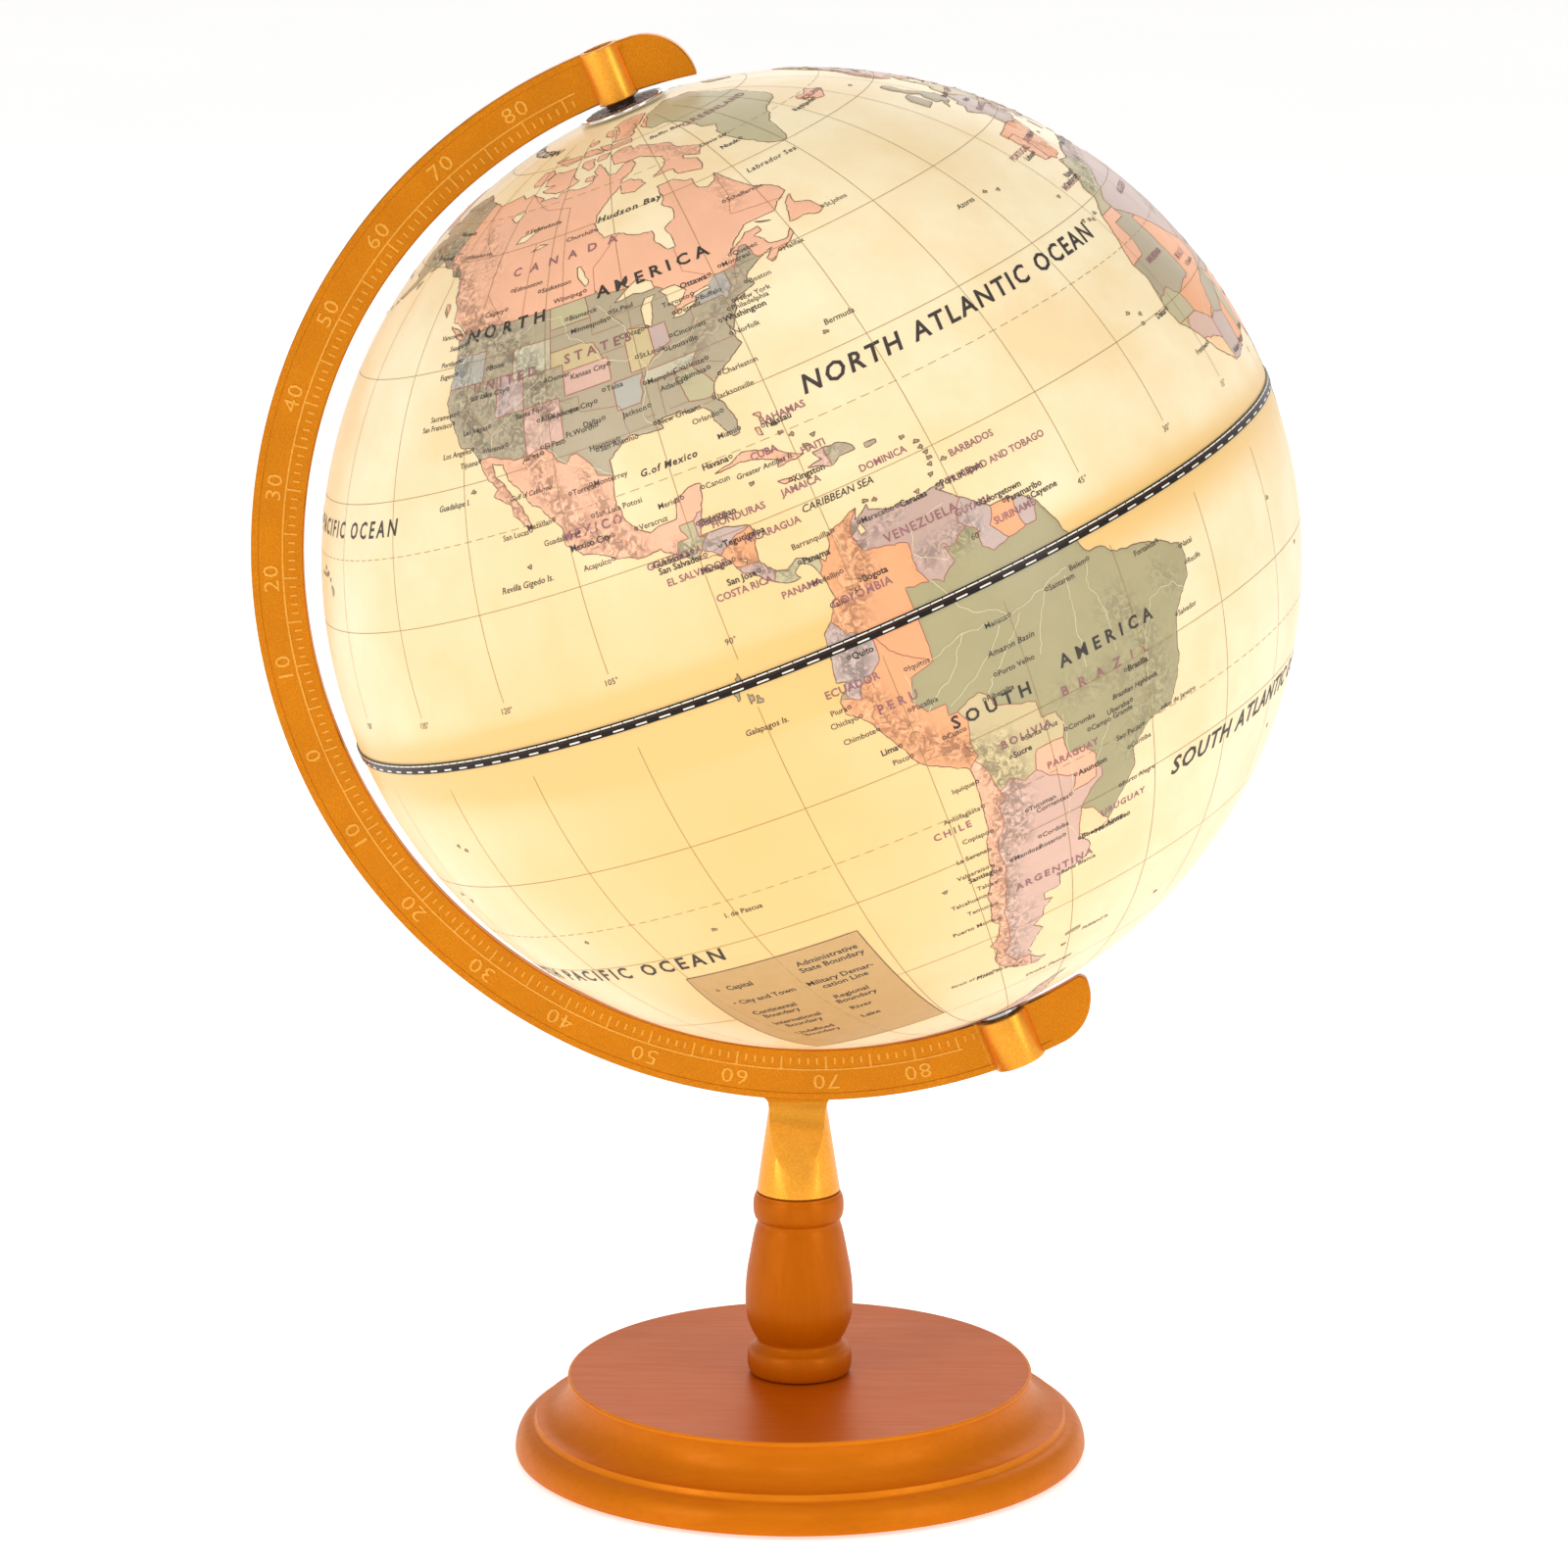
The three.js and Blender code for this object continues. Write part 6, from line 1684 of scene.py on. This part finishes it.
COUNTRY_NAMES = """
CANADA -102 56.2 3.2 36;UNITED -112.5 41.4 3.2 24;STATES -96 41.6 3.2 22;MEXICO -101.5 20.9 2.9 20
BRAZIL -50.5 -14.4 3.2 33;CUBA -78.5 22.1 2.3 0;HAITI -72.8 20.6 2 0;BAHAMAS -74.5 25.6 2.3 0
JAMAICA -76 17 2.2 0;GUATEMALA -92.8 14.6 2 0;BELIZE -87 17.2 1.9 0;HONDURAS -84 16.6 2.1 0
EL SALVADOR -90.8 12.2 2 0;NICARAGUA -81 13.6 2.1 0;COSTA RICA -86.4 8.6 2.1 0;PANAMA -80.4 6.3 2.1 0
COLOMBIA -74.4 3.3 2.5 19;VENEZUELA -65.2 7.7 2.8 24;GUYANA -58.8 6.9 2.1 0;SURINAME -54.6 4.2 2 0
ECUADOR -79.4 -3.1 2.5 17;PERU -75.4 -6.9 2.9 12.5;BOLIVIA -62.6 -17.2 2.6 17;PARAGUAY -57.4 -22.4 2.3 18
URUGUAY -50.8 -32.6 2.3 17;CHILE -75 -25.2 2.5 12;ARGENTINA -62.8 -37.6 2.8 27;GREENLAND -42 73 2.8 26
ICELAND -18.5 65 1.7 0;TRINIDAD AND TOBAGO -53.6 10.6 1.9 0;BARBADOS -55.6 13.3 1.9 0;DOMINICA -66 16 1.8 0
MOROCCO -10.5 33 1.9 0;ALGERIA 2.5 28 2.5 18;MAURITANIA -10.5 20.2 2 14;MALI -2.5 18 2.4 10
NIGER 9 17.5 2.3 12;CHAD 18.5 16 2.3 9;LIBYA 17.5 27 2.5 16;EGYPT 29.5 27 2.4 12;SUDAN 30 16 2.5 15
ETHIOPIA 39.5 8.5 2.2 16;NIGERIA 8 10 2.1 13;D.R. CONGO 23.5 -3.5 2.4 22;ANGOLA 17.5 -12.5 2.3 16
ZAMBIA 27 -14.5 2 12;KENYA 38 0.9 2 0;TANZANIA 35 -6.5 2.1 15;NAMIBIA 17.2 -22.5 2 0;BOTSWANA 24 -22 2 0
SOUTH AFRICA 24 -30.5 2.2 22;MADAGASCAR 47 -19 1.8 0;SPAIN -4 40.3 2 10;PORTUGAL -12 39.8 1.8 0
FRANCE 2.6 47 2.2 13;GERMANY 10.3 51.2 2 12;POLAND 19.5 52.2 1.9 0;UKRAINE 31.5 49.2 2 14
SWEDEN 15.5 62 1.8 0;FINLAND 26 63.5 1.8 0;TURKEY 35 39 2.1 15;IRAQ 43.5 33 1.9 0;SAUDI ARABIA 45 24 2.4 30
IRAN 54 33 2.6 16;KAZAKHSTAN 67 48 2.6 34;RUSSIA 100 62 4.2 70;MONGOLIA 103 46.2 2.3 22
CHINA 104 34.5 3.6 40;INDIA 79 22 3 24;PAKISTAN 68.5 29 2 0;AFGHANISTAN 66 33.8 1.8 0;MYANMAR 96 21.5 1.9 0
THAILAND 101.5 16 1.8 0;VIETNAM 110.5 13 1.9 0;JAPAN 139.5 36.6 2.1 12;PHILIPPINES 124.5 14.5 1.9 0
INDONESIA 116 -3 2.4 34;MALAYSIA 113 3.5 1.8 0;PAPUA NEW GUINEA 147 -4.6 1.9 0;NEW ZEALAND 176 -43 2.2 0
AUSTRALIA 134 -28.5 2.8 36
"""
CAPITALS = """
Ottawa -75.7 45.4 -1;Washington -77 38.9 1;Mexico City -99.1 19.4 -1;Havana -82.4 23.1 -1;Nassau -77.3 25 1
Kingston -76.8 18 1;Belmopan -88.8 17.3 1;Guatemala -90.5 14.6 -1;San Salvador -89.2 13.7 -1
Tegucigalpa -87.2 14.1 1;Managua -86.3 12.1 -1;San Jose -84.1 9.9 -1;Panama -79.5 9 1;Bogota -74.1 4.6 1
Caracas -66.9 10.5 1;Georgetown -58.2 6.8 1;Paramaribo -55.2 5.8 1;Cayenne -52.3 4.9 1;Quito -78.5 -0.6 1
Lima -77 -12 -1;Sucre -65.3 -19 1;Brasilia -47.9 -15.8 1;Asuncion -57.6 -25.3 1;Montevideo -56.2 -34.8 1
Buenos Aires -58.4 -34.6 1;Santiago -70.7 -33.4 -1;Port of Spain -61.5 10.7 1;Reykjavik -21.9 64.1 -1
Nuuk -51.7 64.2 -1;Dakar -17.4 14.7 -1;Rabat -6.8 34 -1;Lisbon -9.1 38.7 -1;Madrid -3.7 40.4 1
Paris 2.3 48.9 1;London -0.1 51.5 1;Rome 12.5 41.9 1;Berlin 13.4 52.5 1;Moscow 37.6 55.8 1;Cairo 31.2 30 1
Nairobi 36.8 -1.3 1;Pretoria 28.2 -25.7 1;Delhi 77.2 28.6 1;Beijing 116.4 39.9 -1;Tokyo 139.7 35.7 1
Bangkok 100.5 13.8 -1;Jakarta 106.8 -6.2 -1;Manila 121 14.6 -1;Canberra 149.1 -35.3 -1
Wellington 174.8 -41.3 1;Riyadh 46.7 24.7 1;Tehran 51.4 35.7 1;Ankara 32.9 39.9 1;Astana 71.4 51.2 1
Accra -0.2 5.6 -1;Lagos 3.4 6.5 -1
"""
CITIES = """
New York -74 40.7 1;Boston -71 42.4 1;Philadelphia -75.2 39.9 1;Norfolk -76.3 36.9 1
Charlotte -80.8 35.2 -1;Charleston -79.9 32.8 1;Jacksonville -81.7 30.3 1;Orlando -81.4 28.5 -1
Miami -80.2 25.8 -1;Atlanta -84.4 33.7 -1;Columbia -81 34 -1;New Orleans -90.1 30 1;Jackson -90.2 32.3 -1
Memphis -90 35.1 1;Houston -95.4 29.8 -1;Dallas -96.8 32.8 -1;Ft.Worth -98 32.3 -1;San Antonio -98.5 29.4 1
El Paso -106.4 31.8 1;Albuquerque -106.6 35.1 1;Santa Fe -106 36.4 -1;Phoenix -112.1 33.4 -1
Tulsa -96 36.1 1;Oklahoma City -97.5 35.1 -1;Kansas City -94.6 39.1 -1;St.Louis -90.2 38.6 1
Louisville -85.8 38.2 1;Cincinnati -84.5 39.6 1;Chicago -87.6 41.9 -1;Detroit -83 42.3 1
Buffalo -78.9 42.9 1;Minneapolis -93.3 44.9 -1;St.Paul -93 45.6 1;Bismarck -100.8 46.8 1;Denver -105 39.7 1
Salt Lake City -111.9 40.2 -1;Las Vegas -115.1 36.2 -1;Los Angeles -118.2 34 -1
San Francisco -122.4 37.8 -1;Sacramento -121.5 38.9 -1;Eugene -123.1 44 -1;Portland -122.7 45.6 -1
Seattle -122.3 47.6 -1;Vancouver -123.1 49.3 -1;Boise -116.2 43.6 1;Calgary -114 51 -1
Edmonton -113.5 53.5 1;Saskatoon -106.7 52.1 1;Winnipeg -97.1 49.9 -1;Churchill -94.2 58.8 -1
Yellowknife -114.4 62.5 1;Toronto -79.4 43.8 -1;Montreal -73.6 45.9 1;Quebec -71.2 46.8 1
Halifax -63.6 44.6 1;St.Johns -52.7 47.6 1;Schefferville -66.8 54.8 1;Whitehorse -135 60.7 1
Anchorage -149.9 61.2 1;Fairbanks -147.7 64.8 1;Tijuana -117 32.4 -1;Juarez -106.5 31.1 -1
Torreon -103.4 25.5 1;Monterrey -100.3 25.7 1;San Luis Potosi -101 22.2 1;Mazatlan -106.4 23.2 -1
San Lucas -109.9 22.8 -1;Veracruz -96.1 19.2 1;Acapulco -99.9 16.8 -1;Cancun -86.8 21 1
Merida -89.6 20.7 -1;Guadalajara -103.3 20.9 -1;Maracaibo -71.6 10.6 1;Barranquilla -74.8 10.9 -1
Medellin -75.6 6.3 -1;Cali -76.5 3.2 -1;Iquitos -73.2 -3.8 1;Piura -80.6 -5.3 -1;Chiclayo -79.8 -6.8 -1
Chimbote -78.6 -9.1 -1;Pisco -76.2 -13.7 -1;Cusco -72 -13.2 1;Pucallpa -74.5 -8.4 1;Riberalta -66.1 -11 1
Santa Cruz -63.2 -17.6 1;Iquique -70.1 -20.2 -1;Antofagasta -70.4 -23.7 -1;Copiapo -70.3 -27.4 -1
La Serena -71.3 -29.9 -1;Valparaiso -71.6 -32.4 -1;Talca -71.7 -35.2 -1;Talcahuano -73.1 -36.7 -1
Temuco -72.6 -38.7 -1;Puerto Montt -72.9 -41.5 -1;Punta Arenas -70.9 -53.2 -1;Cordoba -64.2 -31.4 1
Rosario -60.7 -32.9 -1;Tucuman -65.2 -26.8 1;Corrientes -58.8 -27.6 -1;Mendoza -68.8 -32.9 1
Bahia Blanca -62.3 -38.7 1;Manaus -60 -3.1 -1;Belem -48.5 -1.5 -1;Santarem -54.7 -2.4 1
Porto Velho -63.9 -8.8 1;Recife -34.9 -8 1;Salvador -38.5 -13 1;Fortaleza -38.5 -3.8 -1;Natal -35.3 -5.9 1
Rio de Janeiro -43.2 -22.9 1;Sao Paulo -46.6 -23.5 -1;Curitiba -49.3 -25.4 1;Porto Alegre -51.2 -30 1
Corumba -57.6 -19 1;Uberaba -47.9 -19.7 -1;Campo Grande -54.6 -20.5 1;Casablanca -7.6 33.2 -1
Algiers 3 36.5 1;Tunis 10.2 36.5 -1;Timbuktu -3 16.5 1;Freetown -13.2 8.5 -1;Abidjan -4 5.4 -1
Kano 8.5 12 1;Khartoum 32.5 15.6 1;Luanda 13.3 -8.8 -1;Cape Town 18.5 -33.8 -1;Durban 31 -29.9 1
Maputo 32.6 -25.9 1;Mombasa 39.7 -4 1;Addis Ababa 38.7 9 -1;Istanbul 29 41 -1;Kiev 30.5 50.4 1
Omsk 73.4 55 1;Novosibirsk 83 55 1;Irkutsk 104.3 52.3 -1;Yakutsk 129.7 62 1;Vladivostok 132 43.2 1
Shanghai 121.5 31.2 1;Hong Kong 114.2 22.4 1;Wuhan 114.3 30.6 -1;Chengdu 104 30.7 -1;Urumqi 87.6 43.8 1
Lhasa 91.1 29.7 1;Mumbai 72.9 19 -1;Kolkata 88.4 22.6 1;Chennai 80.3 13.1 1;Karachi 67 24.9 -1
Osaka 135.5 34.6 -1;Sapporo 141.3 43 1;Perth 115.9 -32 -1;Adelaide 138.6 -34.9 -1;Melbourne 145 -37.8 -1
Sydney 151.2 -33.9 1;Brisbane 153 -27.5 1;Darwin 130.8 -12.5 1;Alice Springs 133.9 -25 1
Auckland 174.8 -36.9 -1;Honolulu -157.9 21.3 -1
"""


def lettering():
    """All the map's names: seas, states and cities in black, countries in mauve."""
    black, mauve = Shape(), Shape()
    for body, (lon, lat, cap, width, slant, weight) in entries(LARGE_NAMES, 6):
        word(black, body, lon, lat, cap, width, slant, weight * cap)
    for body, (lon, lat, cap, width) in entries(COUNTRY_NAMES, 4):
        word(mauve, body, lon, lat, max(2.2, cap), width, weight=0.03 * cap)
    for text, cap, weight in ((CAPITALS, 2.0, 0.06), (CITIES, 1.8, 0.012)):
        for body, (lon, lat, side) in entries(text, 3):
            spot_mark(black, lon, lat, True)
            word(black, body, lon, lat, cap, weight=weight, align=side)
    for lon in range(-165, 181, 15):
        word(black, f"{abs(lon)}°", lon, 3.7, 1.9, shear=0.1)
    return black, mauve


def spot_mark(shape, lon, lat, hollow):
    """A small ring, or a filled dot."""
    mesh = bpy.data.meshes.new("spot")
    count = 12
    rings = (0.62, 0.38) if hollow else (0.42,)
    angles = [FULL_TURN * i / count for i in range(count)]
    points = [(r * math.cos(angle), r * math.sin(angle), 0) for r in rings for angle in angles]
    if hollow:
        faces = [[i, (i + 1) % count, count + (i + 1) % count, count + i] for i in range(count)]
    else:
        faces = [list(range(count))]
    mesh.from_pydata(points, [], faces)
    lay_on_globe(shape, mesh, lon, lat, extra=0.12)
    bpy.data.meshes.remove(mesh)


LEGEND_WORDS = """
Capital -114 -37.6;City and Town -112.2 -41;Continental|Boundary -114 -44.2
International|Boundary -113.5 -48;Undefined|Boundary -114.5 -52.2;Administrative|State Boundary -98.4 -36.6
Military Demar-|cation Line -99 -40.9;Regional|Boundary -100 -45.2;River -101 -49;Lake -101.5 -52
"""


LEGEND_WEST, LEGEND_EAST, LEGEND_NORTH, LEGEND_SOUTH = -120.5, -92.2, -34.2, -60.0
WEST_SPREAD, EAST_SPREAD = 0.42, 0.12  # how much wider each half is along the south side


def legend(black):
    """A tan panel in the South Pacific with a key to the map's signs, drawn in two columns."""
    rows, columns = 12, 18
    points, faces = [], []
    for row in range(rows + 1):
        for column in range(columns + 1):
            lat = LEGEND_NORTH + (LEGEND_SOUTH - LEGEND_NORTH) * row / rows
            across = 2 * column / columns - 1
            widen = 1 + (WEST_SPREAD if across < 0 else EAST_SPREAD) * row / rows
            lon = (LEGEND_WEST + LEGEND_EAST) / 2 + (LEGEND_EAST - LEGEND_WEST) / 2 * across * widen
            points.append(on_globe(lon, globe_latitude(lat), 0.1))
    for row in range(rows):
        for column in range(columns):
            a = row * (columns + 1) + column
            faces.append([a, a + columns + 1, a + columns + 2, a + 1])
    panel = Shape().add(points, faces, AXIS_FRAME).build("legend_panel", LEGEND_INK, merge=False)
    finish_piece(panel, "globe", "map_print")
    edge = Shape()
    border = ([(0, c) for c in range(columns + 1)] + [(r, columns) for r in range(1, rows + 1)]
              + [(rows, c) for c in range(columns - 1, -1, -1)] + [(r, 0) for r in range(rows - 1, -1, -1)])
    ribbon(edge, [Vector(points[r * (columns + 1) + c]) * 1.0003 for r, c in border], 0.35)
    finish_piece(edge.build("legend_border", COAST_INK, merge=False), "globe", "map_print")
    for body, (lon, lat) in entries(LEGEND_WORDS, 2):
        for line, part in enumerate(body.split("|")):
            word(black, part, lon, lat - line * 1.35, 2.5, weight=0.06)
    spot_mark(black, -118.0, -37.6, True)
    spot_mark(black, -118.4, -41.0, False)


black_words, mauve_words = lettering()
legend(black_words)
finish_piece(black_words.build("map_lettering_black", BLACK_INK, merge=False), "globe", "map_print")
finish_piece(mauve_words.build("map_lettering_mauve", MAUVE_INK, merge=False), "globe", "map_print")

# ---------------------------------------------------------------- equator tape

TAPE_HALF = 1.6

def strip(shape, low, high, radius, start, end, thickness=0.03):
    """A short closed strip of print round the tape, between two heights on the axis."""
    steps = max(1, math.ceil(abs(end - start) / 2))
    points, faces = [], []
    for i in range(steps + 1):
        angle = math.radians(start + (end - start) * i / steps)
        for r, z in ((radius, low), (radius + thickness, low), (radius + thickness, high), (radius, high)):
            points.append((r * math.cos(angle), r * math.sin(angle), z))
    for i in range(steps):
        for j in range(4):
            k = (j + 1) % 4
            faces.append([4 * i + j, 4 * i + 4 + j, 4 * i + 4 + k, 4 * i + k][::-1])
    faces += [[0, 1, 2, 3][::-1], [4 * steps + j for j in range(4)]]
    shape.add(points, faces, AXIS_FRAME)


def equator_tape():
    """A black band over the seam, with a white line, a brown stripe, and white bars for degrees."""
    inner, outer = GLOBE_RADIUS + 0.05, GLOBE_RADIUS + 0.6
    tape_black = speckled("tape_black", colour(16, 12, 10), colour(30, 25, 20), 0.3, 0.0, 1.0, 0.02, 0.2)
    tape_brown = speckled("tape_brown", colour(46, 24, 12), colour(72, 42, 22), 0.3, 0.0, 1.0, 0.02, 0.2)
    tape_white = speckled("tape_white", colour(232, 224, 206), colour(250, 246, 236), 0.3, 0.0, 1.0, 0.02)
    ring = [(inner, -TAPE_HALF), (outer, -TAPE_HALF), (outer, TAPE_HALF), (inner, TAPE_HALF)]
    made = Shape().turned(rounded(ring, 0.1), 240, AXIS_FRAME).build("equator_tape_band", tape_black)
    finish_piece(made, "globe", "black_tape", "equator_tape")
    white, brown, ticks = Shape(), Shape(), Shape()
    strip(white, 0.78, 1.2, outer, 0, 360)
    strip(brown, -0.1, 0.55, outer, 0, 360)
    for i in range(120):
        strip(white, -1.1, -0.6, outer, i * 3, i * 3 + 1.4, 0.035)
    for i in range(240):
        strip(ticks, 0.85, 1.35, outer + 0.02, i * 1.5, i * 1.5 + 0.12, 0.025)
    for shape, name, paint in ((white, "marks", tape_white), (brown, "stripe", tape_brown),
                               (ticks, "ticks", tape_black)):
        finish_piece(shape.build("equator_tape_" + name, paint, merge=False), "globe", "black_tape")


equator_tape()

# ---------------------------------------------------------------- floor and light

FLOOR_REACH = 40000
FLOOR_HEIGHT = -0.3
FLOOR_GLOW = 0.53
WALL_LIGHT, SKY_LIGHT = 1.0, 0.43
LIGHTS_AIM = (0, 0, 0.22)
# Name, place, width and height, power in watts; metres.
SOFTBOXES = (
    ("left_softbox", (-1.5, -1.5, 1.0), (0.7, 1.3), 13),
    ("right_softbox", (1.6, -1.2, 0.9), (0.6, 1.3), 9),
    ("front_high", (0.1, -2.0, 1.75), (0.9, 0.5), 5),
    ("overhead", (0.1, -0.2, 2.2), (1.6, 1.6), 6),
    ("behind", (0.2, 1.9, 1.1), (1.8, 1.2), 8),
)


def floor():
    """A wide pale sheet that shows the light it is under."""
    finish = Finish("floor_paint", Roughness=0.6, Emission_Strength=FLOOR_GLOW, Emission_Color=(1, 1, 1, 1))
    tone = finish.noise(finish.place(), 0.004, 3, 0.5)
    paper = finish.ramp(tone, (0.3, (0.90, 0.895, 0.885, 1)), (0.7, (0.93, 0.925, 0.915, 1)))
    finish.set(finish.shader, Base_Color=paper)
    sides = ((-1, -1), (1, -1), (1, 1), (-1, 1))
    corners = [(x * FLOOR_REACH, y * FLOOR_REACH, FLOOR_HEIGHT) for x, y in sides]
    made = Shape().add(corners, [[0, 1, 2, 3]]).build("floor", finish.material)


def softbox(name, place, size, power):
    data = bpy.data.lights.new(name, "AREA")
    data.shape = "RECTANGLE"
    data.size, data.size_y = size
    data.energy = power
    made = bpy.data.objects.new(name, data)
    bpy.context.scene.collection.objects.link(made)
    made.location = place
    made.rotation_euler = (Vector(LIGHTS_AIM) - Vector(place)).to_track_quat("-Z", "Y").to_euler()


def studio_walls():
    """Soft light from all round, brighter near the horizon, so that the walls are as pale as the floor."""
    world = bpy.data.worlds.new("studio")
    bpy.context.scene.world = world
    world.use_nodes = True
    tree = world.node_tree
    background = tree.nodes["Background"]
    background.inputs["Color"].default_value = (1.0, 0.995, 0.985, 1)
    direction = tree.nodes.new("ShaderNodeTexCoord")
    height = tree.nodes.new("ShaderNodeSeparateXYZ")
    fade = tree.nodes.new("ShaderNodeMapRange")
    settings = {"From Min": 0.12, "From Max": 0.3, "To Min": WALL_LIGHT, "To Max": SKY_LIGHT}
    for name, value in settings.items():
        fade.inputs[name].default_value = value
    tree.links.new(direction.outputs["Generated"], height.inputs["Vector"])
    tree.links.new(height.outputs["Z"], fade.inputs["Value"])
    tree.links.new(fade.outputs["Result"], background.inputs["Strength"])


floor()
for row in SOFTBOXES:
    softbox(*row)
studio_walls()
bpy.context.scene.view_settings.view_transform = "Standard"
